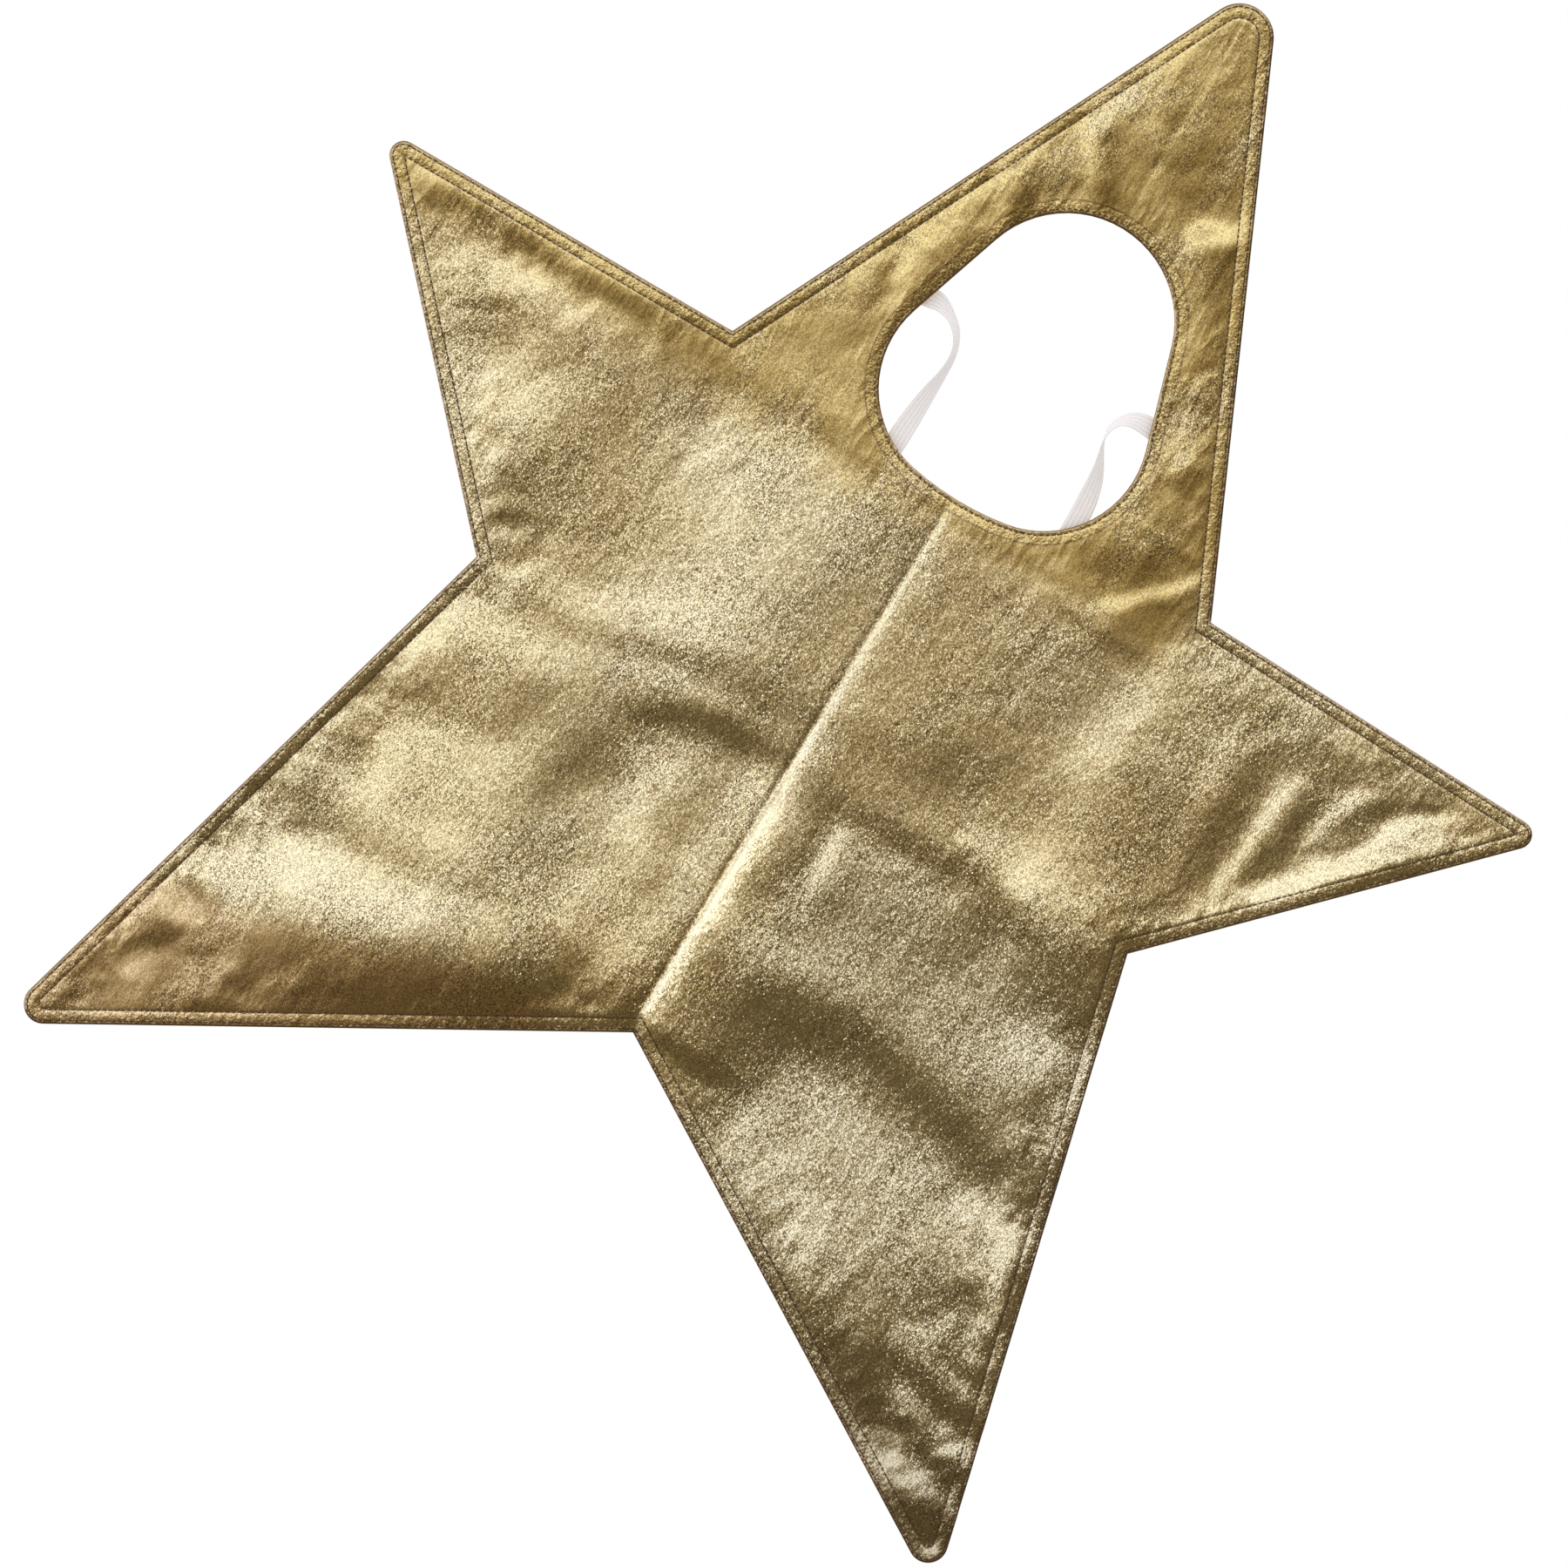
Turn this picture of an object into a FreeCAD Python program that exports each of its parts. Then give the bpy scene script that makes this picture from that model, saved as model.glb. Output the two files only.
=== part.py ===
import FreeCAD, Part
import math
import os
import Sketcher

# Star-shaped padded costume tabard, hung upright: X to the right seen from the front, Y to the
# back, Z up, in millimetres. The origin is the centre of the face opening, in the middle of the
# panel's thickness. The panel is split at the pressed centre crease, where its halves fold.

DRIVING_SIZES = (
    # star outline: where the straight edges would meet
    ("top_tip_z", 255.5),
    ("upper_notch_x", 154.4),
    ("upper_notch_z", -72.2),
    ("side_tip_x", 377.8),
    ("side_tip_z", -76.2),
    ("side_notch_x", 210.1),
    ("side_notch_z", -252.0),
    ("lower_tip_x", 302.8),
    ("lower_tip_z", -609.4),
    ("bottom_notch_z", -430.7),
    ("top_tip_radius", 18.8),
    ("side_tip_radius", 8.0),
    ("lower_tip_radius", 11.0),
    # face opening: a round top, leaning sides and a wider, flatter bottom
    ("face_top_z", 87.7),
    ("face_bottom_z", -87.3),
    ("face_top_radius", 59.3),
    ("face_side_lean", 17.6),
    ("face_corner_radius", 57.7),
    ("face_bottom_radius", 167.0),
    # layers
    ("panel_depth", 4.2),
    ("cloth_depth", 0.5),
    ("hem_wall", 1.0),
    ("crease_gap", 0.2),
    # topstitching
    ("thread_width", 0.45),
    ("thread_height", 0.3),
    ("edge_row_inset", 2.0),
    ("inner_row_inset", 8.0),
    ("face_row_inset", 2.4),
    # elastic arm loops
    ("elastic_width", 12.0),
    ("elastic_depth", 0.8),
    ("elastic_lift", 0.5),
    ("sewn_end_x", 95.0),
    ("upper_end_z", -2.0),
    ("lower_end_z", -190.0),
    ("hinge_clearance", 0.6),
    ("upper_bend_radius", 12.0),
    ("lower_bend_radius", 14.0),
    ("left_loop_x", 46.0),
    ("left_loop_lean", 4.0),
    ("right_loop_x", 51.0),
    ("right_loop_lean", 10.0),
    # folded, stitched ends of the elastic
    ("end_length", 13.0),
    ("end_depth", 1.3),
    ("tack_margin", 1.6),
    # block that holds everything to the right of the crease
    ("block_reach", 700.0),
)


def fill_sheet(doc):
    """Puts each driving size in its own cell, with its name as the cell's alias."""
    sheet = doc.addObject("Spreadsheet::Sheet", "sizes")
    for row, (name, value) in enumerate(DRIVING_SIZES, start=1):
        sheet.set(f"A{row}", name)
        sheet.set(f"B{row}", str(value))
        sheet.setAlias(f"B{row}", name)
    doc.recompute()
    return sheet


def cell(name):
    """The sheet's cell as it is written in an expression."""
    return f"sizes.{name}"


# ---- sketches -----------------------------------------------------------------------------------

def upright_sketch(doc, name):
    """A sketch in the X-Z plane, seen from the front: its own x is X and its own y is Z."""
    sketch = doc.addObject("Sketcher::SketchObject", name)
    turn = FreeCAD.Rotation(FreeCAD.Vector(1, 0, 0), 90)
    sketch.Placement = FreeCAD.Placement(FreeCAD.Vector(0, 0, 0), turn)
    return sketch


def add_line(sketch, start, end):
    return sketch.addGeometry(Part.LineSegment(start, end), False)


def add_arc(sketch, centre, radius, start_angle, end_angle):
    """A counter-clockwise arc; the angles are in radians from the sketch's x axis."""
    circle = Part.Circle(centre, FreeCAD.Vector(0, 0, 1), radius)
    return sketch.addGeometry(Part.ArcOfCircle(circle, start_angle, end_angle), False)


def bind(sketch, kind, elements, value, expression):
    """Adds a dimension and ties it to the sheet."""
    index = sketch.addConstraint(Sketcher.Constraint(kind, *elements, value))
    name = f"dimension_{index}"
    sketch.renameConstraint(index, name)
    sketch.setExpression(f"Constraints.{name}", expression)


def fix_point(sketch, element, end, position, x_expression, z_expression):
    """Fixes one point of an element by its distances from the origin."""
    bind(sketch, "DistanceX", (-1, 1, element, end), position.x, x_expression)
    bind(sketch, "DistanceY", (-1, 1, element, end), position.y, z_expression)


def smooth_join(sketch, first, second):
    """The end of the first element runs smoothly into the start of the second."""
    sketch.addConstraint(Sketcher.Constraint("Tangent", first, 2, second, 1))


def star_corners(sheet):
    """Corners counter-clockwise from the top: side of X, size names, and tip radius or None."""
    names = (
        (0, None, "top_tip_z", "top_tip_radius"),
        (-1, "upper_notch_x", "upper_notch_z", None),
        (-1, "side_tip_x", "side_tip_z", "side_tip_radius"),
        (-1, "side_notch_x", "side_notch_z", None),
        (-1, "lower_tip_x", "lower_tip_z", "lower_tip_radius"),
        (0, None, "bottom_notch_z", None),
        (1, "lower_tip_x", "lower_tip_z", "lower_tip_radius"),
        (1, "side_notch_x", "side_notch_z", None),
        (1, "side_tip_x", "side_tip_z", "side_tip_radius"),
        (1, "upper_notch_x", "upper_notch_z", None),
    )
    corners = []
    for side, x_name, z_name, radius_name in names:
        x = side * sheet.get(x_name) if side else 0
        x_expression = f"{side} * {cell(x_name)}" if side else None
        position = FreeCAD.Vector(x, sheet.get(z_name), 0)
        corners.append((position, x_expression, cell(z_name), radius_name))
    return corners


def round_tip(corner, before, after, radius):
    """Where a rounded corner's arc starts, ends and has its centre."""
    towards_before = (before - corner).normalize()
    towards_after = (after - corner).normalize()
    half_angle = towards_before.getAngle(towards_after) / 2
    reach = radius / math.tan(half_angle)
    inward = (towards_before + towards_after).normalize()
    centre = corner + inward * (radius / math.sin(half_angle))
    return corner + towards_before * reach, corner + towards_after * reach, centre


def star_outline(doc, sheet):
    """Five straight-edged points with rounded tips and sharp notches, mirrored about x = 0."""
    sketch = upright_sketch(doc, "star_outline")
    corners = star_corners(sheet)
    count = len(corners)
    leaving = []
    arriving = []
    arcs = {}
    for index, (position, _, _, radius_name) in enumerate(corners):
        before = corners[index - 1][0]
        after = corners[(index + 1) % count][0]
        if radius_name is None:
            arriving.append(position)
            leaving.append(position)
            continue
        radius = sheet.get(radius_name)
        start, end, centre = round_tip(position, before, after, radius)
        arriving.append(start)
        leaving.append(end)
        arcs[index] = (centre, radius, start, end)
    edges = []
    for index in range(count):
        edges.append(add_line(sketch, leaving[index], arriving[(index + 1) % count]))
    for index, (position, x_expression, z_expression, radius_name) in enumerate(corners):
        edge_in = edges[index - 1]
        edge_out = edges[index]
        if radius_name is None:
            sketch.addConstraint(Sketcher.Constraint("Coincident", edge_in, 2, edge_out, 1))
            corner, end = edge_out, 1
        else:
            centre, radius, start, finish = arcs[index]
            first = math.atan2(start.y - centre.y, start.x - centre.x)
            last = math.atan2(finish.y - centre.y, finish.x - centre.x)
            arc = add_arc(sketch, centre, radius, first, last)
            smooth_join(sketch, edge_in, arc)
            smooth_join(sketch, arc, edge_out)
            bind(sketch, "Radius", (arc,), radius, cell(radius_name))
            corner, end = sketch.addGeometry(Part.Point(position), True), 1
            sketch.addConstraint(Sketcher.Constraint("PointOnObject", corner, 1, edge_in))
            sketch.addConstraint(Sketcher.Constraint("PointOnObject", corner, 1, edge_out))
        if x_expression is None:
            sketch.addConstraint(Sketcher.Constraint("PointOnObject", corner, end, -2))
            bind(sketch, "DistanceY", (-1, 1, corner, end), position.y, z_expression)
        else:
            fix_point(sketch, corner, end, position, x_expression, z_expression)
    return sketch


def face_outline(doc, sheet):
    """The face opening: one top arc, two leaning sides, two corner arcs and one bottom arc."""
    sketch = upright_sketch(doc, "face_outline")
    top_radius = sheet.get("face_top_radius")
    corner_radius = sheet.get("face_corner_radius")
    bottom_radius = sheet.get("face_bottom_radius")
    lean = math.radians(sheet.get("face_side_lean"))
    outward = FreeCAD.Vector(math.cos(lean), math.sin(lean), 0)
    down_side = FreeCAD.Vector(math.sin(lean), -math.cos(lean), 0)
    top_centre = FreeCAD.Vector(0, sheet.get("face_top_z") - top_radius, 0)
    bottom_centre = FreeCAD.Vector(0, sheet.get("face_bottom_z") + bottom_radius, 0)
    side_start = top_centre + outward * top_radius
    # the corner's centre lies on a line parallel to the side, and inside the bottom arc
    line_start = side_start - outward * corner_radius
    gap = line_start - bottom_centre
    along = gap.dot(down_side)
    rest = gap.dot(gap) - (bottom_radius - corner_radius) ** 2
    side_length = -along + math.sqrt(along ** 2 - rest)
    corner_centre = line_start + down_side * side_length
    side_end = corner_centre + outward * corner_radius
    meet = (corner_centre - bottom_centre).normalize()
    meet_angle = math.atan2(meet.y, meet.x)

    def mirrored(point):
        return FreeCAD.Vector(-point.x, point.y, 0)

    top = add_arc(sketch, top_centre, top_radius, lean, math.pi - lean)
    left_side = add_line(sketch, mirrored(side_start), mirrored(side_end))
    left_corner = add_arc(sketch, mirrored(corner_centre), corner_radius,
                          math.pi - lean, math.pi - meet_angle)
    bottom = add_arc(sketch, bottom_centre, bottom_radius, -math.pi - meet_angle, meet_angle)
    right_corner = add_arc(sketch, corner_centre, corner_radius, meet_angle, lean)
    right_side = add_line(sketch, side_end, side_start)
    loop = (top, left_side, left_corner, bottom, right_corner, right_side)
    for index, element in enumerate(loop):
        smooth_join(sketch, element, loop[(index + 1) % len(loop)])
    sketch.addConstraint(Sketcher.Constraint("PointOnObject", top, 3, -2))
    sketch.addConstraint(Sketcher.Constraint("PointOnObject", bottom, 3, -2))
    sketch.addConstraint(Sketcher.Constraint("Equal", left_corner, right_corner))
    sketch.addConstraint(Sketcher.Constraint("Equal", left_side, right_side))
    bind(sketch, "Radius", (top,), top_radius, cell("face_top_radius"))
    bind(sketch, "Radius", (right_corner,), corner_radius, cell("face_corner_radius"))
    bind(sketch, "Radius", (bottom,), bottom_radius, cell("face_bottom_radius"))
    bind(sketch, "Angle", (right_side,), math.pi / 2 + lean, f"90 + {cell('face_side_lean')}")
    bind(sketch, "DistanceY", (-1, 1, top, 3), top_centre.y,
         f"{cell('face_top_z')} - {cell('face_top_radius')}")
    bind(sketch, "DistanceY", (-1, 1, bottom, 3), bottom_centre.y,
         f"{cell('face_bottom_z')} + {cell('face_bottom_radius')}")
    return sketch


def loop_path(doc, sheet, side):
    """Centre line of an arm loop on the right: inboard, down past the opening, and back out."""
    sketch = upright_sketch(doc, f"{side}_loop_path")
    upper_radius = sheet.get("upper_bend_radius")
    lower_radius = sheet.get("lower_bend_radius")
    lean = math.radians(sheet.get(f"{side}_loop_lean"))
    outer_x = sheet.get("sewn_end_x") - sheet.get("hinge_clearance")
    upper_z = sheet.get("upper_end_z")
    lower_z = sheet.get("lower_end_z")
    down = FreeCAD.Vector(math.sin(lean), -math.cos(lean), 0)
    outward = FreeCAD.Vector(math.cos(lean), math.sin(lean), 0)
    upper_centre_z = upper_z - upper_radius
    bar_start = FreeCAD.Vector(sheet.get(f"{side}_loop_x"), 0, 0)
    bar_start.y = upper_centre_z - upper_radius * outward.y
    upper_centre = bar_start + outward * upper_radius
    lower_centre_z = lower_z + lower_radius
    bar_length = (bar_start.y + lower_radius * outward.y - lower_centre_z) / math.cos(lean)
    bar_end = bar_start + down * bar_length
    lower_centre = bar_end + outward * lower_radius
    upper_run = add_line(sketch, FreeCAD.Vector(outer_x, upper_z, 0),
                         FreeCAD.Vector(upper_centre.x, upper_z, 0))
    upper_bend = add_arc(sketch, upper_centre, upper_radius, math.pi / 2, math.pi + lean)
    bar = add_line(sketch, bar_start, bar_end)
    lower_bend = add_arc(sketch, lower_centre, lower_radius, math.pi + lean, 3 * math.pi / 2)
    lower_run = add_line(sketch, FreeCAD.Vector(lower_centre.x, lower_z, 0),
                         FreeCAD.Vector(outer_x, lower_z, 0))
    chain = (upper_run, upper_bend, bar, lower_bend, lower_run)
    for first, second in zip(chain, chain[1:]):
        smooth_join(sketch, first, second)
    sketch.addConstraint(Sketcher.Constraint("Horizontal", upper_run))
    sketch.addConstraint(Sketcher.Constraint("Horizontal", lower_run))
    outer_end = f"{cell('sewn_end_x')} - {cell('hinge_clearance')}"
    fix_point(sketch, upper_run, 1, FreeCAD.Vector(outer_x, upper_z, 0),
              outer_end, cell("upper_end_z"))
    fix_point(sketch, lower_run, 2, FreeCAD.Vector(outer_x, lower_z, 0),
              outer_end, cell("lower_end_z"))
    bind(sketch, "Radius", (upper_bend,), upper_radius, cell("upper_bend_radius"))
    bind(sketch, "Radius", (lower_bend,), lower_radius, cell("lower_bend_radius"))
    bind(sketch, "DistanceX", (-1, 1, bar, 1), bar_start.x, cell(f"{side}_loop_x"))
    bind(sketch, "Angle", (bar,), lean - math.pi / 2, f"{cell(f'{side}_loop_lean')} - 90")
    return sketch


# ---- solids -------------------------------------------------------------------------------------

def prism(doc, name, outline, front, back):
    """Extrudes an upright outline from y = front to y = back."""
    solid = doc.addObject("Part::Extrusion", name)
    solid.Base = outline
    solid.DirMode = "Custom"
    solid.Dir = FreeCAD.Vector(0, 1, 0)
    solid.Solid = True
    solid.setExpression("LengthFwd", back)
    solid.setExpression("LengthRev", f"-({front})")
    return solid


def grown(doc, name, outline, amount):
    """The outline moved outwards by an amount, or inwards where it is negative."""
    offset = doc.addObject("Part::Offset2D", name)
    offset.Source = outline
    offset.Join = "Intersection"
    offset.setExpression("Value", amount)
    return offset


def boolean(doc, kind, name, base, tool):
    result = doc.addObject(f"Part::{kind}", name)
    result.Base = base
    result.Tool = tool
    return result


def box(doc, name, lengths, corner):
    """A box with its three lengths and its lowest corner given as expressions."""
    solid = doc.addObject("Part::Box", name)
    for side, expression in zip(("Length", "Width", "Height"), lengths):
        solid.setExpression(side, expression)
    for axis, expression in zip("xyz", corner):
        solid.setExpression(f"Placement.Base.{axis}", expression)
    return solid


def labelled(piece, label):
    """Marks an object as a sub-part: its label names its file."""
    piece.Label = label
    return piece


def mirror_to_left(doc, source, label):
    copy = doc.addObject("Part::Mirroring", label)
    copy.Source = source
    copy.Normal = FreeCAD.Vector(1, 0, 0)
    return labelled(copy, label)


def both_halves(doc, whole, right_block, label):
    """Cuts a whole layer at the crease and gives its right and left halves."""
    right = boolean(doc, "Common", f"{label}_right", whole, right_block)
    return [labelled(right, f"{label}_right"), mirror_to_left(doc, right, f"{label}_left")]


def block_right_of_crease(doc):
    reach = cell("block_reach")
    lengths = (reach, f"{reach} / 10", f"2 * {reach}")
    corner = (f"{cell('crease_gap')} / 2", f"-{reach} / 20", f"-{reach}")
    return box(doc, "right_block", lengths, corner)


def make_layers(doc, star, face, right_block):
    """Front shell, wadding and back lining. The two cloths meet in the hem around the wadding."""
    surface = f"{cell('panel_depth')} / 2"
    wadding_surface = f"({surface} - {cell('cloth_depth')})"
    star_inside = grown(doc, "star_inside_hem", star, f"-{cell('hem_wall')}")
    face_inside = grown(doc, "face_inside_hem", face, cell("hem_wall"))
    wadding_full = prism(doc, "wadding_full", star_inside,
                         f"-{wadding_surface}", wadding_surface)
    wadding_hole = prism(doc, "wadding_hole", face_inside, f"-{surface}", surface)
    wadding = boolean(doc, "Cut", "wadding", wadding_full, wadding_hole)
    pieces = both_halves(doc, wadding, right_block, "wadding")
    layers = (("front_shell", f"-{surface}", "0"), ("back_lining", "0", surface))
    for label, front, back in layers:
        full = prism(doc, f"{label}_full", star, front, back)
        hole = prism(doc, f"{label}_hole", face, front, back)
        open_face = boolean(doc, "Cut", f"{label}_open", full, hole)
        hollow = boolean(doc, "Cut", label, open_face, wadding)
        pieces += both_halves(doc, hollow, right_block, label)
    return pieces


def make_stitch_row(doc, outline, inset, slab, right_block, label):
    """A row of topstitching as a raised thread on the front and a matching one on the back."""
    half = f"{cell('thread_width')} / 2"
    reach = f"({cell('panel_depth')} / 2 + {cell('thread_height')})"
    wide = grown(doc, f"{label}_wide", outline, f"{inset} + {half}")
    narrow = grown(doc, f"{label}_narrow", outline, f"{inset} - {half}")
    outer = prism(doc, f"{label}_outer", wide, f"-{reach}", reach)
    inner = prism(doc, f"{label}_inner", narrow, f"-{reach}", reach)
    ring = boolean(doc, "Cut", f"{label}_ring", outer, inner)
    threads = boolean(doc, "Cut", label, ring, slab)
    return both_halves(doc, threads, right_block, label)


def make_stitching(doc, star, face, right_block):
    surface = f"{cell('panel_depth')} / 2"
    slab = prism(doc, "thread_slab", grown(doc, "slab_outline", star, cell("hem_wall")),
                 f"-{surface}", surface)
    rows = (
        (star, f"-{cell('edge_row_inset')}", "edge_stitching"),
        (star, f"-{cell('inner_row_inset')}", "inner_stitching"),
        (face, cell("face_row_inset"), "face_stitching"),
    )
    pieces = []
    for outline, inset, label in rows:
        pieces += make_stitch_row(doc, outline, inset, slab, right_block, label)
    return pieces


def make_arm_loop(doc, sheet, side):
    """A flat elastic swept along its path just behind the lining."""
    path = loop_path(doc, sheet, side)
    section = doc.addObject("Part::Plane", f"{side}_loop_section")
    section.setExpression("Length", cell("elastic_width"))
    section.setExpression("Width", cell("elastic_depth"))
    turn = FreeCAD.Rotation(FreeCAD.Vector(0, 1, 0), 90)
    section.Placement = FreeCAD.Placement(FreeCAD.Vector(0, 0, 0), turn)
    inner_face = f"{cell('panel_depth')} / 2 + {cell('elastic_lift')}"
    section.setExpression("Placement.Base.x", f"{cell('sewn_end_x')} - {cell('hinge_clearance')}")
    section.setExpression("Placement.Base.y", inner_face)
    section.setExpression("Placement.Base.z", f"{cell('upper_end_z')} + {cell('elastic_width')} / 2")
    path.setExpression("Placement.Base.y", f"{inner_face} + {cell('elastic_depth')} / 2")
    doc.recompute()
    label = f"{side}_arm_loop"
    sweep = doc.addObject("Part::Sweep", f"{label}_sweep")
    sweep.Sections = [section]
    sweep.Spine = (path, [f"Edge{number + 1}" for number in range(len(path.Shape.Edges))])
    sweep.Solid = True
    sweep.Transition = "Round corner"
    if side == "left":
        return mirror_to_left(doc, sweep, label)
    return labelled(sweep, label)


def make_sewn_end(doc, right_block, level):
    """The elastic's folded end on the lining and the box of tack stitches that holds it."""
    clearance = cell("hinge_clearance")
    width = cell("elastic_width")
    surface = f"{cell('panel_depth')} / 2"
    middle_z = cell(f"{level}_end_z")
    inner_x = f"{cell('sewn_end_x')} + {clearance}"
    end = box(doc, f"{level}_end", (cell("end_length"), cell("end_depth"), width),
              (inner_x, surface, f"{middle_z} - {width} / 2"))
    margin = cell("tack_margin")
    top = f"{surface} + {cell('end_depth')}"
    boxes = []
    for part, inset in (("outer", margin), ("inner", f"({margin} + {cell('thread_width')})")):
        lengths = (f"{cell('end_length')} - 2 * {inset}", cell("thread_height"),
                   f"{width} - 2 * {inset}")
        corner = (f"{inner_x} + {inset}", top, f"{middle_z} - {width} / 2 + {inset}")
        boxes.append(box(doc, f"{level}_tack_{part}", lengths, corner))
    tack = boolean(doc, "Cut", f"{level}_tack", *boxes)
    pieces = []
    for piece, label in ((end, f"loop_{level}_end"), (tack, f"loop_{level}_tack")):
        right = boolean(doc, "Common", f"right_{label}", piece, right_block)
        pieces.append(labelled(right, f"right_{label}"))
        pieces.append(mirror_to_left(doc, right, f"left_{label}"))
    return pieces


# ---- checks and files ---------------------------------------------------------------------------

def check_document(doc, pieces):
    """Stops before anything is written if any object failed or a sub-part isn't sound."""
    for item in doc.Objects:
        if "Invalid" in item.State or "Error" in item.State:
            raise RuntimeError(f"{item.Name} failed: {item.State}")
    for piece in pieces:
        shape = piece.Shape
        if shape.isNull() or not shape.isValid() or not shape.Solids:
            raise RuntimeError(f"{piece.Label} has no sound solid")


def main():
    doc = FreeCAD.newDocument("star_tabard")
    sheet = fill_sheet(doc)
    star = star_outline(doc, sheet)
    face = face_outline(doc, sheet)
    doc.recompute()
    right_block = block_right_of_crease(doc)
    pieces = make_layers(doc, star, face, right_block)
    pieces += make_stitching(doc, star, face, right_block)
    pieces += [make_arm_loop(doc, sheet, side) for side in ("left", "right")]
    for level in ("upper", "lower"):
        pieces += make_sewn_end(doc, right_block, level)
    doc.recompute()
    check_document(doc, pieces)
    os.makedirs("parts", exist_ok=True)
    for piece in pieces:
        piece.Shape.exportStep(f"parts/{piece.Label}.step")
        bounds = piece.Shape.BoundBox
        print(piece.Label, len(piece.Shape.Solids), round(piece.Shape.Volume, 2),
              [round(v, 2) for v in (bounds.XMin, bounds.XMax, bounds.YMin, bounds.YMax,
                                     bounds.ZMin, bounds.ZMax)])


main()
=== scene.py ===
import math

import bmesh
import bpy
import numpy as np
from mathutils import Matrix, Vector, kdtree
from mathutils.geometry import delaunay_2d_cdt


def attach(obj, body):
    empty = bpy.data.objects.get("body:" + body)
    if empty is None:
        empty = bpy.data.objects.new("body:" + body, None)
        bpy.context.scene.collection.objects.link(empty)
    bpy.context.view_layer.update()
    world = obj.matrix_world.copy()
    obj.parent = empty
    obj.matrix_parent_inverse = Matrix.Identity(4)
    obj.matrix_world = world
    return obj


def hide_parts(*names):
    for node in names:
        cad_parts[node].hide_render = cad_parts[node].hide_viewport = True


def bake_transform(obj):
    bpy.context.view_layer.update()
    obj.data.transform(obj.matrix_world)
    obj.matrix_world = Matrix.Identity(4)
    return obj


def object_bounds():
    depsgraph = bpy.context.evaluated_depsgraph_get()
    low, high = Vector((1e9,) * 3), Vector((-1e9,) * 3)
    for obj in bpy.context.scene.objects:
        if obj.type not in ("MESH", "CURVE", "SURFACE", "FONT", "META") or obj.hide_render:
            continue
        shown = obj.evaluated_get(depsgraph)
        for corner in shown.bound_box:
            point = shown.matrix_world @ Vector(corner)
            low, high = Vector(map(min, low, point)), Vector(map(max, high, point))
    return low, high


# Star-shaped gold lame costume tabard. Metres, X right seen from the front, Y to the back, Z up.
# Shapes are worked out in millimetres on the flat star (x across, z up) and turned into meshes at
# the end. Relief is the height of the cloth towards the viewer, who stands on the -Y side.

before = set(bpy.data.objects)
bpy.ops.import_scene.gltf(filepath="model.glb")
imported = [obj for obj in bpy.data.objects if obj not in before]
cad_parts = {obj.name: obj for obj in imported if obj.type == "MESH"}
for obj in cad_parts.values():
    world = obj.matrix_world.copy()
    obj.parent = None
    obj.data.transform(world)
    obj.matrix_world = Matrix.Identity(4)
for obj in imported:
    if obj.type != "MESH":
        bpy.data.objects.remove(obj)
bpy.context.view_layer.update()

MM = 0.001
SEED = 20

# ---- sizes, in millimetres ----

EDGE_ROW = 2.0
INNER_ROW = 8.0
FACE_ROW = 2.4
STITCH_PITCH = 3.4
STITCH_LENGTH = 2.7
THREAD_RADIUS = 0.36
LOOSE_THREAD_AT = (-206.8, -2.0, -257.2)
LOOSE_THREAD_RADIUS = 1.8
SEWN_END_Z = {"upper": -2.0, "lower": -190.0}

# Spacing of the points in the cloth, and the depths from each edge that get a row of their own.
STAR_EDGE_STEP = 4.0
OPENING_EDGE_STEP = 3.0
ARC_STEP = 1.4
GRID_STEP = 3.4
MEDIUM_STEP = 5.2
COARSE_STEP = 7.5
SIMULATION_STEP = 7.0
ROW_SPACING = 0.866
FINE_RINGS = [0.45, 1.0, 2.0, 2.9, 4.0, 5.0, 6.2, 7.2, 8.0, 8.8, 10.0, 12.0, 15.0]
FINE_OPENING_RINGS = [0.5, 1.2, 2.4, 3.4, 5.0, 8.0]
COARSE_RINGS = [2.0, 5.0, 8.0, 12.0]
COARSE_OPENING_RINGS = [2.4, 7.0]
SETTLING_RINGS = [4.0, 9.0, 14.0]
CREASE_STEP = 3.0
CREASE_COLUMNS = [0, 1.2, 2.6, 4.2, 6, 8.2, 10.8, 14]

# How near a point may come to a ring or a column of its own, in steps.
RING_CLEARANCE = 0.45
COLUMN_CLEARANCE = 0.8

# What counts as a corner of the outline, and how the lines inside it run past a notch.
CORNER_COSINE = 0.94
NOTCH_TURN = 0.3
SHORTEST_MITRE = 0.3
NOTCH_FILL_STEP = 3.5
CLOSEST_POINTS = 0.9
NEAREST_CORNERS = 5

# The layers: how closely the back follows the front, the room for the cloth, the wadding's share.
BACK_SHARE = 0.75
CLOTH_ALLOWANCE = 1.1
FILL_SHARE = 0.6
THINNEST = 0.05

SETTLING_FRAMES = 24
SETTLING_LIMIT = 3.5
FAR = 1e9


# ---- the star's outline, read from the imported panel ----

def front_boundary(node):
    """Edges round the front face of a CAD shell, as pairs of (x, z) points in millimetres."""
    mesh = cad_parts[node].data
    front = min(v.co.y for v in mesh.vertices) + 1e-5
    uses = {}
    for face in mesh.polygons:
        corners = [mesh.vertices[i].co for i in face.vertices]
        if any(c.y > front for c in corners):
            continue
        points = [(round(1000 * c.x, 3), round(1000 * c.z, 3)) for c in corners]
        for a, b in zip(points, points[1:] + points[:1]):
            key = (min(a, b), max(a, b))
            uses[key] = uses.get(key, 0) + 1
    return [edge for edge, count in uses.items() if count == 1]


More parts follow.
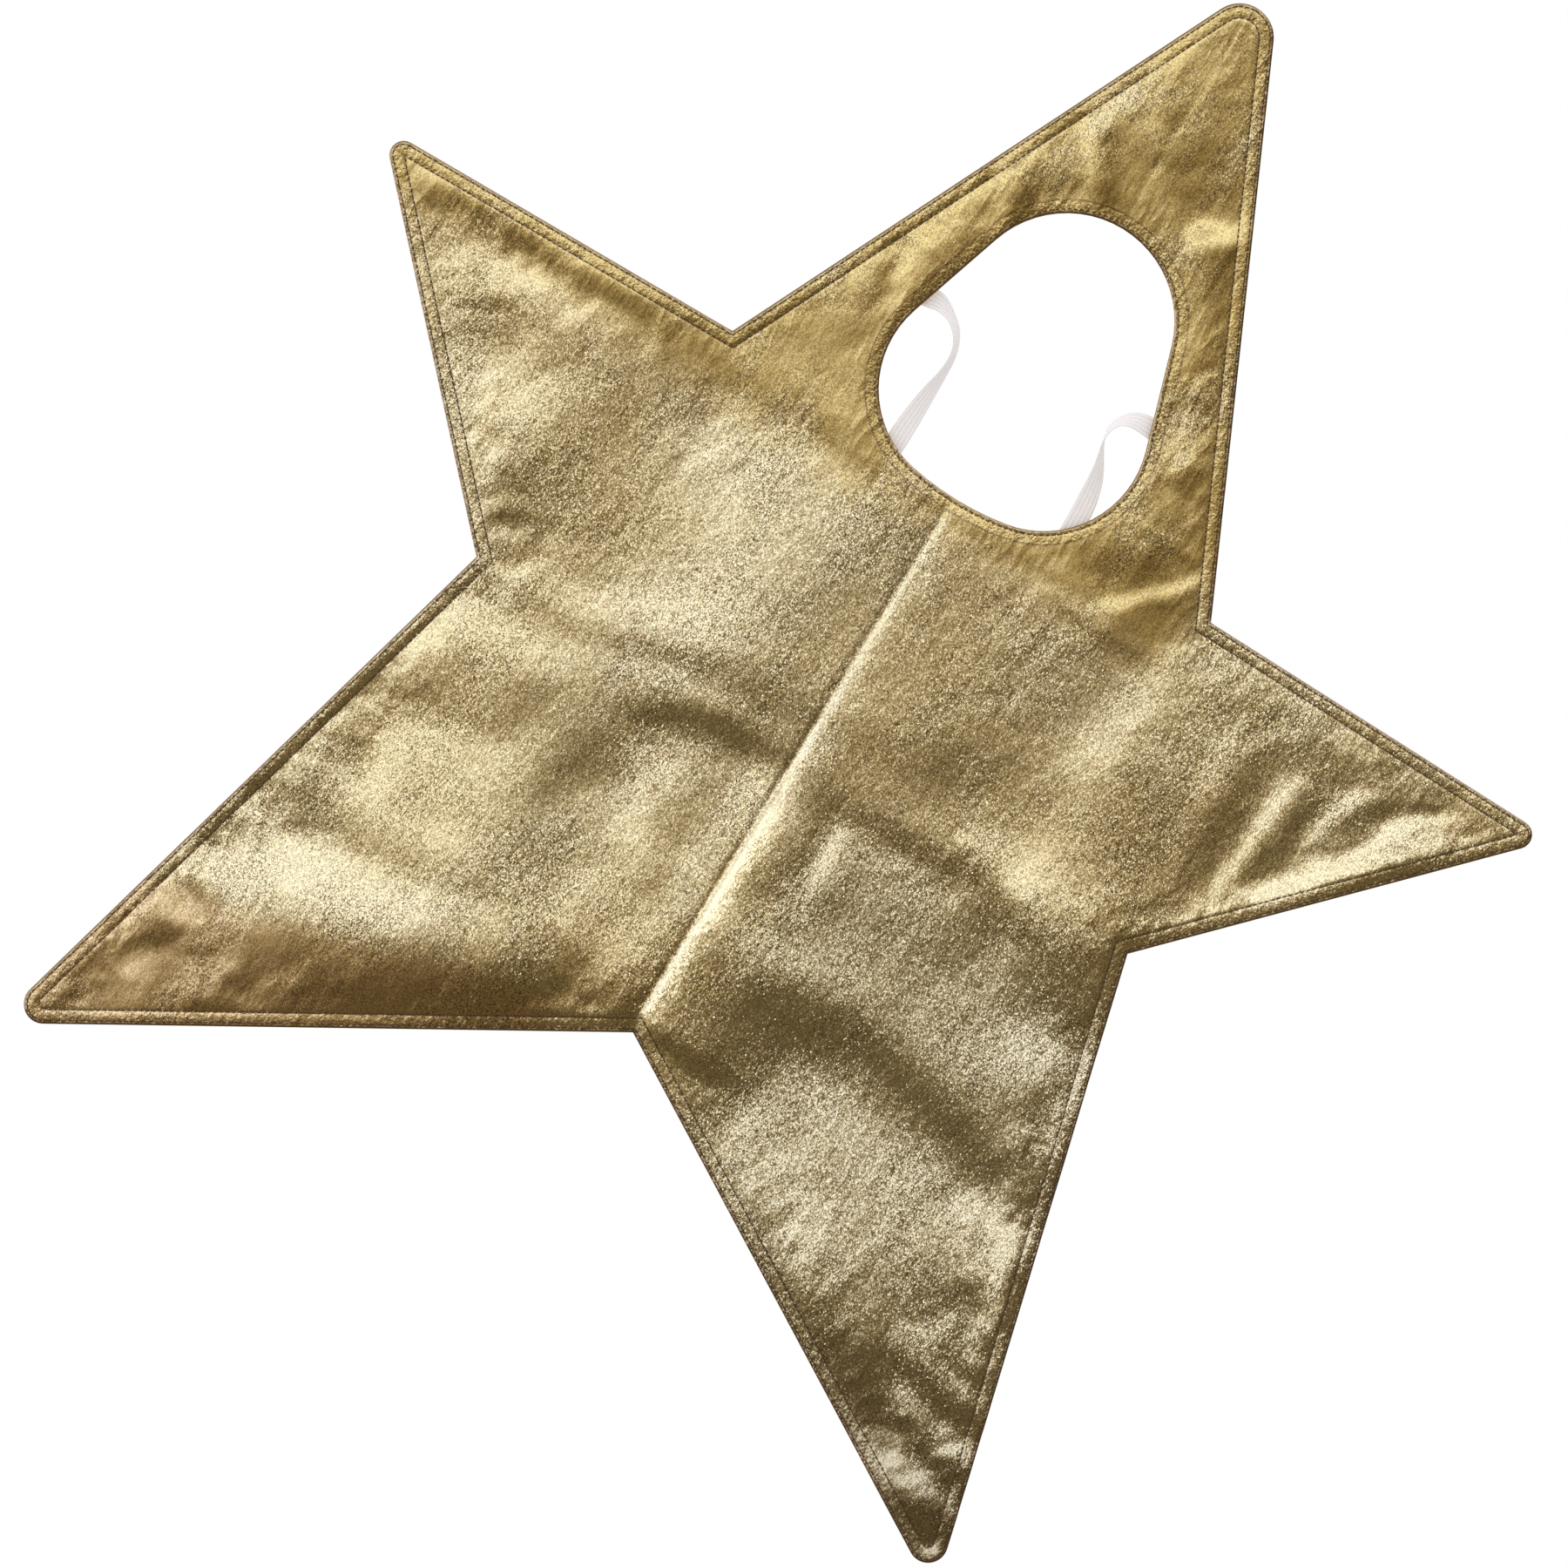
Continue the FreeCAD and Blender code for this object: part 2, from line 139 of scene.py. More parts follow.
def chains(edges):
    """Joins loose edges into open chains of points."""
    neighbours = {}
    for a, b in edges:
        neighbours.setdefault(a, []).append(b)
        neighbours.setdefault(b, []).append(a)
    ends = [p for p, near in neighbours.items() if len(near) == 1]
    found = []
    used = set()
    for start in ends:
        if start in used:
            continue
        chain = [start]
        used.add(start)
        while True:
            ahead = [p for p in neighbours[chain[-1]] if p not in used]
            if not ahead:
                break
            chain.append(ahead[0])
            used.add(ahead[0])
        found.append(chain)
    return found


def closed_outlines():
    """The star's outer loop and the face opening's, both mirrored from the right half."""
    crease = 0.3
    edges = [e for e in front_boundary("front_shell_right") if max(e[0][0], e[1][0]) > crease]
    loops = []
    for chain in chains(edges):
        if chain[0][1] < chain[-1][1]:
            chain.reverse()
        right = np.array(chain)
        right[0, 0] = right[-1, 0] = 0.0
        left = right[::-1][1:-1] * (-1, 1)
        loops.append(np.vstack([right, left]))
    loops.sort(key=lambda loop: -np.ptp(loop[:, 1]))
    return loops[0], loops[1]


def resample(loop, step, arc_step):
    """Keeps real corners and thins or fills the rest, so that samples are at most one step apart."""
    points = [loop[0]]
    count = len(loop)
    for index in range(1, count + 1):
        here = loop[index % count]
        start = points[-1]
        before = here - loop[index - 1]
        after = loop[(index + 1) % count] - here
        straight = before @ after / (np.linalg.norm(before) * np.linalg.norm(after))
        gap = np.linalg.norm(here - start)
        if gap < arc_step and straight > CORNER_COSINE:
            continue
        for k in range(1, math.ceil(gap / step)):
            points.append(start + (here - start) * k / math.ceil(gap / step))
        points.append(here)
    if np.linalg.norm(points[-1] - points[0]) < 1e-3:
        points.pop()
    return np.array(points)


def tree_of(points):
    """A search tree of flat points."""
    tree = kdtree.KDTree(len(points))
    for index, (x, z) in enumerate(points):
        tree.insert((x, z, 0), index)
    tree.balance()
    return tree


def unit(vectors):
    """The same directions, one unit long."""
    return vectors / np.linalg.norm(vectors, axis=1)[:, None]


def running_length(line):
    """The length along an open line at each of its points."""
    return np.concatenate([[0], np.cumsum(np.linalg.norm(np.diff(line, axis=0), axis=1))])


def distance_to_loop(points, loop, mitre):
    """Distance from each point to a closed loop, and how far along the loop its nearest point is.
    With mitre, a point nearest to a notch takes the larger distance to the notch's two edges, as a
    seam that turns sharply there does."""
    count = len(loop)
    vectors = np.roll(loop, -1, axis=0) - loop
    lengths = np.linalg.norm(vectors, axis=1)
    begins = np.concatenate([[0], np.cumsum(lengths)[:-1]])
    tree = tree_of(loop)
    near = [[found[1] for found in tree.find_n((x, z, 0), NEAREST_CORNERS)] for x, z in points]
    near = np.array(near)
    best = np.full(len(points), FAR)
    along = np.zeros(len(points))
    for column in range(near.shape[1]):
        for back in (0, 1):
            edge = (near[:, column] - back) % count
            offset = points - loop[edge]
            t = np.clip((offset * vectors[edge]).sum(axis=1) / lengths[edge] ** 2, 0, 1)
            distance = np.linalg.norm(offset - t[:, None] * vectors[edge], axis=1)
            closer = distance < best
            best[closer] = distance[closer]
            along[closer] = (begins[edge] + t * lengths[edge])[closer]
    if mitre:
        directions = vectors / lengths[:, None]
        before = np.roll(directions, 1, axis=0)
        turns = before[:, 0] * directions[:, 1] - before[:, 1] * directions[:, 0]
        for index in np.nonzero(turns > NOTCH_TURN)[0]:
            offset = points - loop[index]
            touches = np.abs(np.linalg.norm(offset, axis=1) - best) < 1e-6
            out, back = directions[index], before[index]
            to_out = np.abs(offset @ (-out[1], out[0]))
            to_back = np.abs(offset @ (-back[1], back[0]))
            best[touches] = np.maximum(to_out, to_back)[touches]
    return best, along


def inside(points, loop):
    """True for points inside a closed loop, by counting crossings."""
    result = np.zeros(len(points), bool)
    ends = np.roll(loop, -1, axis=0)
    for a, b in zip(loop, ends):
        crosses = (a[1] > points[:, 1]) != (b[1] > points[:, 1])
        if not crosses.any():
            continue
        x = a[0] + (points[:, 1] - a[1]) * (b[0] - a[0]) / (b[1] - a[1] + 1e-12)
        result ^= crosses & (points[:, 0] < x)
    return result


def smoothstep(low, high, values):
    t = np.clip((values - low) / (high - low), 0, 1)
    return t * t * (3 - 2 * t)


def offset_line(loop, side, depth):
    """The line that runs at one depth inside the cloth, side 1 for the star and -1 for the opening.
    It is sharp where the star has a notch."""
    vectors = unit(np.roll(loop, -1, axis=0) - loop)
    normals = side * np.stack([vectors[:, 1], -vectors[:, 0]], axis=1)
    line = []
    for index, corner in enumerate(loop):
        before, after = normals[index - 1], normals[index]
        middle = (before + after) / np.linalg.norm(before + after)
        mitre = corner + middle * depth / max(middle @ after, SHORTEST_MITRE)
        turn = vectors[index - 1][0] * vectors[index][1] - vectors[index - 1][1] * vectors[index][0]
        if side * turn > NOTCH_TURN and depth > 0.5:
            for start, end in ((corner + before * depth, mitre), (mitre, corner + after * depth)):
                parts = max(1, math.ceil(np.linalg.norm(end - start) / NOTCH_FILL_STEP))
                line += [start + (end - start) * k / parts for k in range(parts)]
            line.append(corner + after * depth)
        else:
            line.append(mitre)
    line = np.array(line)
    true_depth = distance_to_loop(line, loop, side > 0)[0]
    line = line[true_depth > depth - 0.03 - 0.004 * depth]
    kept = [line[0]]
    for point in line[1:]:
        if np.linalg.norm(point - kept[-1]) > CLOSEST_POINTS:
            kept.append(point)
    return np.array(kept)


# ---- the flat pattern as a triangle mesh ----

class Samples:
    """Points of the flat star, with how deep each lies in the cloth from either edge."""

    def __init__(self, points, star, opening):
        self.points = points
        self.depth, self.along = distance_to_loop(points, star, True)
        self.opening_depth = distance_to_loop(points, opening, False)[0]


class Pattern:
    """A triangle mesh of the flat star with its opening, and the depth of every point in the cloth."""

    def __init__(self, star, opening, star_rings, opening_rings, step, crease_columns):
        sets = [star, opening]
        sets += [offset_line(star, 1, d) for d in star_rings]
        rings = [offset_line(opening, -1, d) for d in opening_rings]
        for ring in rings:
            depth = distance_to_loop(ring, star, True)[0]
            sets.append(ring[depth > star_rings[-1] + 1])
        sets.append(self.inner_points(star, opening, star_rings[-1], opening_rings[-1], step, crease_columns))
        points = np.vstack(sets)
        edges = []
        begin = 0
        for loop in (star, opening):
            numbers = list(range(begin, begin + len(loop)))
            edges += list(zip(numbers, numbers[1:] + numbers[:1]))
            begin += len(loop)
        out = delaunay_2d_cdt([Vector(p) for p in points], edges, [], 1, 1e-4)
        self.points = np.array([tuple(v) for v in out[0]])
        corners = np.array([tuple(f) for f in out[2]])
        centres = self.points[corners].mean(axis=1)
        keep = inside(centres, star) & ~inside(centres, opening)
        self.triangles = corners[keep]
        place = {}
        for new, old_ones in enumerate(out[3]):
            for old in old_ones:
                place[old] = new
        first = len(star)
        self.rims = [[place[i] for i in range(first)],
                     [place[i] for i in range(first, first + len(opening))]]
        self.samples = Samples(self.points, star, opening)

    @staticmethod
    def inner_points(star, opening, star_margin, opening_margin, step, crease_columns):
        """Rows of points inside the last rings, with upright columns beside the centre crease."""
        low = star.min(axis=0)
        high = star.max(axis=0)
        found = []
        for row, z in enumerate(np.arange(low[1], high[1], step * ROW_SPACING)):
            shift = 0.5 * step * (row % 2)
            start = crease_columns[-1] + COLUMN_CLEARANCE * step + shift if crease_columns else shift
            across = np.arange(start, high[0], step)
            found += [(x, z) for x in across] + [(-x, z) for x in across if x > 0]
        if crease_columns:
            for z in np.arange(low[1], high[1], CREASE_STEP):
                found += [(side * x, z) for x in crease_columns for side in (-1, 1) if x or side > 0]
        found = np.array(found)
        found = found[inside(found, star) & ~inside(found, opening)]
        clear = RING_CLEARANCE * step
        found = found[distance_to_loop(found, star, True)[0] > star_margin + clear]
        return found[distance_to_loop(found, opening, False)[0] > opening_margin + clear]


# ---- relief of the cloth ----

# The key light comes from this way across the star, so cloth that tilts towards it is bright.
KEY_WAY = np.array([-0.8, 0.6])

# Smooth bands where the cloth tilts: line of points, half width, tilt (bright above 0, dark below).
BANDS = [
    # top arm
    ([(-40, 174), (-24, 160), (-8, 144)], 3, 0.2),
    ([(-52, 142), (-38, 114), (-16, 88)], 4, 0.3),
    ([(-42, 142), (-28, 118), (-8, 96)], 4, -0.16),
    ([(28, 98), (44, 112), (64, 116)], 6, 0.3),
    ([(-84, 90), (-68, 72), (-54, 50)], 4, 0.22),
    ([(-66, 96), (-56, 84), (-50, 70)], 4, -0.14),
    ([(-98, 28), (-90, 4), (-80, -22)], 4, 0.14),
    ([(-110, 24), (-100, 0), (-92, -24)], 4, -0.10),
    ([(98, 32), (86, 28), (76, 30)], 4, -0.12),
    ([(88, -14), (100, -16), (112, -12)], 5, -0.14),
    ([(86, -104), (112, -82), (144, -48)], 3.5, 0.26),
    # the soft crease between the two upper notches
    ([(-150, -94), (-70, -96), (0, -97), (80, -96), (150, -96)], 3, -0.07),
    ([(60, -106), (100, -110), (150, -108)], 3, -0.10),
    # left side arm
    ([(-352, -92), (-260, -94), (-170, -96)], 4, -0.05),
    ([(-322, -112), (-285, -108), (-236, -104)], 5, 0.08),
    ([(-300, -132), (-262, -126), (-232, -128)], 3, -0.06),
    ([(-284, -150), (-256, -160), (-226, -186)], 5, 0.08),
    ([(-262, -182), (-240, -190), (-216, -210)], 4, -0.05),
    ([(-238, -200), (-226, -212), (-218, -236)], 5, 0.14),
    # left chest
    ([(-130, -98), (-118, -134), (-96, -172), (-60, -222)], 14, 0.05),
    ([(-160, -262), (-100, -244), (-40, -228)], 6, -0.07),
    # the dark arch across the waist
    ([(-114, -366), (-106, -316), (-90, -284)], 8, -0.07),
    ([(-102, -300), (-84, -276), (-46, -262), (10, -264)], 9, -0.15),
    ([(-96, -282), (-66, -266), (-30, -260), (6, -262)], 6, -0.07),
    ([(-20, -262), (60, -264), (124, -260), (166, -276), (212, -318)], 9, -0.17),
    ([(118, -260), (156, -272), (184, -292), (214, -324)], 10, -0.24),
    # right chest
    ([(146, -98), (138, -146), (140, -190), (166, -230), (192, -262), (214, -292)], 18, 0.06),
    # right side arm
    ([(196, -102), (200, -160), (208, -226)], 6, 0.08),
    ([(218, -104), (216, -150), (216, -200)], 6, -0.05),
    ([(238, -106), (236, -160), (230, -222)], 5, 0.22),
    ([(256, -112), (250, -160), (244, -200)], 5, -0.09),
    ([(346, -90), (306, -130), (272, -168), (234, -214)], 9, 0.2),
    ([(284, -96), (266, -128), (260, -164)], 4, 0.18),
    ([(322, -94), (292, -108), (272, -134)], 3, -0.12),
    ([(336, -88), (310, -106), (288, -132)], 3, 0.16),
    # lower right
    ([(26, -272), (29, -296), (31, -330)], 4, -0.08),
    ([(38, -266), (41, -290), (44, -324)], 4, 0.2),
    ([(40, -360), (90, -364), (150, -376), (262, -418)], 12, -0.29),
    ([(190, -388), (222, -400), (250, -420)], 7, -0.12),
    ([(60, -400), (120, -408), (180, -424), (240, -456)], 14, 0.12),
    ([(216, -334), (228, -358), (240, -394)], 5, 0.26),
    ([(20, -445), (38, -428), (58, -411)], 2.5, -0.10),
    ([(232, -414), (244, -444), (256, -474)], 5, 0.26),
    ([(226, -448), (246, -462), (272, -462)], 3, -0.2),
    ([(226, -470), (248, -484), (280, -484)], 3, 0.24),
    ([(110, -488), (150, -508), (190, -528), (258, -560)], 9, -0.26),
    ([(226, -492), (262, -505), (300, -506)], 3.5, 0.36),
    ([(196, -500), (262, -519), (306, -520)], 5, -0.36),
    ([(222, -516), (268, -533), (308, -534)], 4, 0.40),
    ([(216, -530), (270, -547), (312, -548)], 5, -0.36),
    ([(240, -552), (276, -563), (314, -564)], 3.5, 0.34),
    ([(246, -568), (280, -578), (318, -578)], 5, -0.3),
    # lower left
    ([(-214, -276), (-176, -280), (-130, -288)], 11, 0.09),
    ([(-222, -334), (-180, -331), (-130, -326)], 7, -0.07),
    ([(-84, -296), (-62, -328), (-34, -372)], 11, 0.12),
    ([(-206, -362), (-194, -380), (-192, -400)], 7, 0.12),
    ([(-236, -398), (-180, -396), (-104, -388)], 9, 0.10),
    ([(-238, -416), (-170, -418), (-70, -400)], 7, -0.06),
    ([(-240, -440), (-180, -446), (-110, -440)], 11, 0.11),
    ([(-84, -404), (-50, -412), (-10, -426)], 7, -0.08),
    ([(-274, -424), (-254, -432), (-226, -432)], 3, 0.2),
    ([(-272, -438), (-250, -448), (-220, -456)], 3, -0.2),
    ([(-276, -462), (-250, -472), (-226, -476)], 3, 0.22),
    ([(-280, -476), (-256, -486), (-226, -496)], 3, -0.22),
    ([(-286, -496), (-262, -504), (-240, -512)], 3, 0.22),
    ([(-288, -510), (-266, -520), (-244, -532)], 3, -0.22),
    ([(-294, -530), (-270, -542), (-252, -556)], 3, 0.2),
    ([(-298, -554), (-282, -566), (-266, -578)], 4, -0.16),
]

# Bands that fall from raised cloth down to the flat hem.
FALLS = [
    ([(-24, -422), (-62, -444), (-139, -488), (-232, -542)], 13, -0.06),
    ([(60, -446), (120, -484), (190, -524), (246, -556)], 10, -0.10),
    ([(-350, -89), (-260, -90), (-158, -89)], 6, -0.10),
    ([(232, -352), (246, -404), (262, -462)], 6, -0.08),
    ([(44, 128), (66, 82), (100, 14), (124, -36)], 6, -0.02),
]

# Soft areas where the cloth leans a little: centre x, z, half sizes along and across, turn in
# degrees, tilt.
AREAS = [
    (0, 200, 22, 30, 0, -0.02), (4, 146, 40, 40, 0, -0.02), (-90, 15, 26, 60, 20, 0.035),
    (96, 0, 26, 75, -24, 0.03), (55, -82, 60, 14, 0, -0.05), (-60, -84, 60, 12, 0, -0.03),
    (-286, -118, 50, 18, 8, 0.05), (-246, -172, 40, 40, 45, 0.065), (-176, -196, 22, 56, -24, 0.02),
    (-100, -172, 60, 70, 20, 0.062), (-72, -210, 60, 30, 10, 0.04), (-24, -150, 22, 60, 0, -0.02),
    (-120, -250, 80, 9, 6, -0.03), (-190, -284, 46, 26, 0, 0.075), (-172, -366, 54, 46, 0, 0.12),
    (-56, -330, 36, 50, 0, 0.065), (-165, -436, 84, 30, 8, 0.12), (-46, -424, 36, 18, 20, -0.06),
    (-150, -492, 100, 14, -24, -0.03), (62, -158, 50, 44, 0, 0.022), (266, -126, 40, 26, 0, 0.05),
    (58, -228, 52, 24, 10, -0.065), (142, -165, 30, 66, 4, 0.045), (172, -244, 26, 36, -40, 0.05),
    (184, -150, 24, 60, 0, 0.015), (112, -306, 96, 30, 0, -0.05), (184, -292, 40, 13, -38, -0.08),
    (150, -384, 100, 16, -10, -0.06), (152, -446, 84, 34, -12, 0.05), (200, -522, 62, 20, -25, -0.07),
    (282, -576, 30, 26, 0, -0.17), (-276, -566, 24, 22, 0, -0.04), (290, -134, 44, 18, 30, 0.055),
    (262, -186, 44, 16, 45, 0.05), (28, -366, 22, 80, 0, 0.085), (-16, -356, 22, 74, 0, 0.12),
]

# Where the hem gathers most: centre x, z, reach, strength.
GATHERED = [(-262, -490, 75, 1.2), (266, -505, 80, 1.3), (-285, -130, 60, 0.9), (-225, -200, 40, 0.8),
            (-232, -330, 70, 0.5), (238, -400, 60, 0.9), (-70, 60, 60, 0.6), (110, -20, 60, 0.5),
            (220, -240, 50, 0.6), (-60, -440, 60, 0.6), (90, -470, 60, 0.4)]


def rounded(line, parts=7):
    """Points along a smooth curve through the given ones."""
    line = np.array(line, float)
    padded = np.vstack([2 * line[0] - line[1], line, 2 * line[-1] - line[-2]])
    found = [line[0]]
    for a, b, c, d in zip(padded, padded[1:], padded[2:], padded[3:]):
        for t in np.arange(1, parts + 1) / parts:
            found.append(0.5 * (2 * b + (c - a) * t + (2 * a - 5 * b + 4 * c - d) * t ** 2
                                + (3 * b - a - 3 * c + d) * t ** 3))
    return np.array(found)


def beside_line(points, line):
    """Distance from each point to a line, positive on its left, and how far along it is from 0 to 1."""
    starts, ends = line[:-1], line[1:]
    vectors = ends - starts
    lengths = np.linalg.norm(vectors, axis=1)
    begins = np.concatenate([[0], np.cumsum(lengths)[:-1]])
    best = np.full(len(points), FAR)
    signed = np.zeros(len(points))
    share = np.zeros(len(points))
    for a, v, length, begin in zip(starts, vectors, lengths, begins):
        offset = points - a
        t = np.clip((offset @ v) / length ** 2, 0, 1)
        distance = np.linalg.norm(offset - t[:, None] * v, axis=1)
        closer = distance < best
        side = np.sign(v[0] * offset[:, 1] - v[1] * offset[:, 0])
        best[closer] = distance[closer]
        signed[closer] = (side * distance)[closer]
        share[closer] = ((begin + t * length) / lengths.sum())[closer]
    return signed, share


def tilted_band(points, line, half_width, tilt, lift=0.0):
    """A band of cloth that leans along a line. It rises across the line and eases back beyond it.
    With a lift of 1 the low side stays level and only the high side stands up."""
    line = rounded(line)
    low = line.min(axis=0) - 11 * half_width
    high = line.max(axis=0) + 11 * half_width
    near = np.nonzero(((points > low) & (points < high)).all(axis=1))[0]
    height = np.zeros(len(points))
    if len(near) == 0:
        return height
    signed, share = beside_line(points[near], line)
    run = line[-1] - line[0]
    left = np.array([-run[1], run[0]]) / np.linalg.norm(run)
    rise = -np.sign(left @ KEY_WAY) * tilt * half_width
    step = np.tanh(signed / half_width) + lift * np.sign(rise)
    taper = smoothstep(0, 0.3, share) * smoothstep(0, 0.3, 1 - share)
    reach = 4.5 * half_width
    height[near] = rise * step * np.exp(-(signed / reach) ** 2) * taper
    return height


def leaning_area(points, x, z, along, across, turn, tilt):
    """An oval of cloth that leans towards or away from the key light and eases out at its rim."""
    offset = points - (x, z)
    turn = math.radians(turn)
    first = (offset @ (math.cos(turn), math.sin(turn))) / along
    second = (offset @ (-math.sin(turn), math.cos(turn))) / across
    return -tilt * (offset @ KEY_WAY) * np.exp(-0.7 * (first ** 2 + second ** 2))


def soft_noise(values, shortest, longest, count, seed):
    """Smooth noise along one axis: a sum of waves with seeded lengths and phases."""
    draw = np.random.default_rng(seed)
    total = np.zeros_like(values, dtype=float)
    for _ in range(count):
        wave = draw.uniform(shortest, longest)
        total += draw.uniform(0.5, 1) * np.sin(2 * math.pi * (values / wave + draw.uniform()))
    return total / math.sqrt(count)


def tip_distance(points):
    tips = np.array([(0, 230), (367, -77), (-367, -77), (294, -597), (-294, -597)])
    return np.linalg.norm(points[:, None, :] - tips[None], axis=2).min(axis=1)


def puckers(points, depth, along):
    """Small gathers that run across the hem, strongest beside the seam, patchy along it."""
    skewed = along + 0.5 * depth * np.sin(along / 37)
    gathers = 1.1 - 1.7 * np.abs(soft_noise(skewed, 16, 40, 9, SEED))
    fine = soft_noise(skewed, 6, 10, 7, SEED + 2)
    strength = 0.22 * smoothstep(-0.5, 1.2, soft_noise(along, 60, 150, 5, SEED + 1))
    for x, z, reach, amount in GATHERED:
        strength = strength + amount * np.exp(-((points - (x, z)) ** 2).sum(axis=1) / reach ** 2)
    between_rows = 0.16 * np.exp(-((depth - 5) / 2) ** 2)
    past_row = smoothstep(7.5, 13, depth) * np.exp(-np.maximum(depth - 13, 0) / 17)
    calm_tips = smoothstep(16, 55, tip_distance(points))
    return strength * calm_tips * (gathers * (between_rows + 0.62 * past_row)
                                   + 0.2 * fine * np.exp(-((depth - 11) / 6) ** 2))


VALLEY_OFFSET = 2.6


def centre_crease(points):
    """The pressed valley just left of the fold line, weaker above the waist. Its right flank stands
    higher and rolls over slowly."""
    x, z = points[:, 0] + VALLEY_OFFSET, points[:, 1]
    across = np.abs(x)
    below_waist = smoothstep(-190, -290, z)
    sharp = (0.30 + 0.25 * below_waist) * (1 - np.exp(-across / 1.6))
    right = (0.9 + 2.2 * below_waist) * (1 - np.exp(-across / (5.5 + 4.5 * below_waist))) * (x > 0)
    ends = smoothstep(-84, -104, z) * smoothstep(-434, -420, z)
    top = 0.25 * smoothstep(86, 100, z) * (1 - np.exp(-across / 4))
    return ((sharp + right) * ends + top) * np.exp(-(x / 50) ** 2)


def hand_relief(samples):
    """Height of the middle of the panel towards the viewer, in millimetres."""
    points = samples.points
    height = np.zeros(len(points))
    for line, half_width, tilt in BANDS:
        height += tilted_band(points, line, half_width, tilt)
    for line, half_width, tilt in FALLS:
        height += tilted_band(points, line, half_width, tilt, 1.0)
    for area in AREAS:
        height += leaning_area(points, *area)
    height += centre_crease(points)
    height *= 0.5 + 0.5 * smoothstep(1.5, 11, samples.depth)
    height *= 0.5 + 0.5 * smoothstep(1.0, 8, samples.opening_depth)
    return height


def near_straps(points):
    """1 where the straps lie close behind the panel, easing to 0 round them."""
    x, z = points[:, 0], points[:, 1]
    return smoothstep(145, 114, np.abs(x)) * smoothstep(-230, -202, z) * smoothstep(36, 10, z)


# How far the panel's middle and its back may lean towards the straps.
LOWEST_MIDDLE = -2.2
LOWEST_BACK = -0.3


def no_lower(height, level):
    """Eases heights that fall below zero, so that none falls past the level."""
    return np.where(height < 0, level * np.tanh(height / level), height)


# Half of the panel's thickness at each depth from an edge, as pairs.
STAR_PROFILE = [(0, 0.28), (0.45, 0.85), (1, 1.0), (2, 0.92), (2.9, 1.04), (4, 1.12), (5, 1.14), (6.2, 1.1),
                (7.2, 1.02), (8, 0.9), (8.8, 1.03), (10, 1.13), (12, 1.24), (15, 1.36), (20, 1.52), (60, 2.1)]
OPENING_PROFILE = [(0, 0.28), (0.5, 0.85), (1.2, 1.0), (2.4, 0.86), (3.4, 1.0), (5, 1.12), (8, 1.28),
                   (20, 1.58), (60, 2.1)]


def half_thickness(depth, opening_depth):
    """From the middle of the panel to its face: pressed down under each row of stitches."""
    star = np.interp(depth, *zip(*STAR_PROFILE))
    opening = np.interp(opening_depth, *zip(*OPENING_PROFILE))
    return np.minimum(star, opening)


def middle_height(samples, settled):
    """The middle of the panel: folds and crease, the settled cloth, and the gathers along the hem."""
    height = hand_relief(samples)
    if settled is not None:
        beside_hem = np.exp(-np.maximum(samples.depth - 14, 0) / 15)
        below_neck = smoothstep(-60, -110, samples.points[:, 1])
        share = (0.14 + 0.05 * below_neck + (0.12 + 0.28 * below_neck) * beside_hem)
        height = height + share * settled(samples.points)
    gathers = puckers(samples.points, samples.depth, samples.along)
    height = height + gathers * smoothstep(0, 6, samples.depth)
    zone = near_straps(samples.points)
    return zone * no_lower(height, LOWEST_MIDDLE) + (1 - zone) * height


def back_middle(samples, settled):
    """The back follows the front's folds more softly, and never leans back onto the straps."""
    edge = np.minimum(samples.depth, samples.opening_depth)
    share = 1 - (1 - BACK_SHARE) * smoothstep(12, 45, edge)
    height = share * middle_height(samples, settled)
    zone = near_straps(samples.points)
    return zone * no_lower(height, LOWEST_BACK) + (1 - zone) * height


def front_height(samples, settled):
    return middle_height(samples, settled) + half_thickness(samples.depth, samples.opening_depth)


def back_height(samples, settled):
    return back_middle(samples, settled) - half_thickness(samples.depth, samples.opening_depth)


# ---- meshes ----

AWAY_FROM_HEM = 50.0


def add_object(name, vertices, faces, material, flat=None, hem=None):
    """A smooth mesh from millimetre points. Each point keeps its place on the flat cloth and its
    depth from the edge, so that the weave stays put when the cloth moves."""
    vertices = np.asarray(vertices, float)
    mesh = bpy.data.meshes.new(name)
    mesh.from_pydata((vertices * MM).tolist(), [], faces)
    mesh.validate()
    mesh.polygons.foreach_set("use_smooth", [True] * len(mesh.polygons))
    flat = vertices * MM if flat is None else np.asarray(flat) * MM
    place = mesh.attributes.new("flat", "FLOAT_VECTOR", "POINT")
    place.data.foreach_set("vector", flat.astype(float).ravel())
    edge = mesh.attributes.new("hem_depth", "FLOAT", "POINT")
    edge.data.foreach_set("value", np.full(len(vertices), AWAY_FROM_HEM) if hem is None else hem)
    built = bmesh.new()
    built.from_mesh(mesh)
    bmesh.ops.recalc_face_normals(built, faces=built.faces)
    built.to_mesh(mesh)
    built.free()
    mesh.materials.append(material)
    piece = bpy.data.objects.new(name, mesh)
    bpy.context.collection.objects.link(piece)
    return piece


def upright(points, heights):
    """Flat points and heights towards the viewer, as 3-D points with Y to the back."""
    return np.column_stack([points[:, 0], -heights, points[:, 1]])


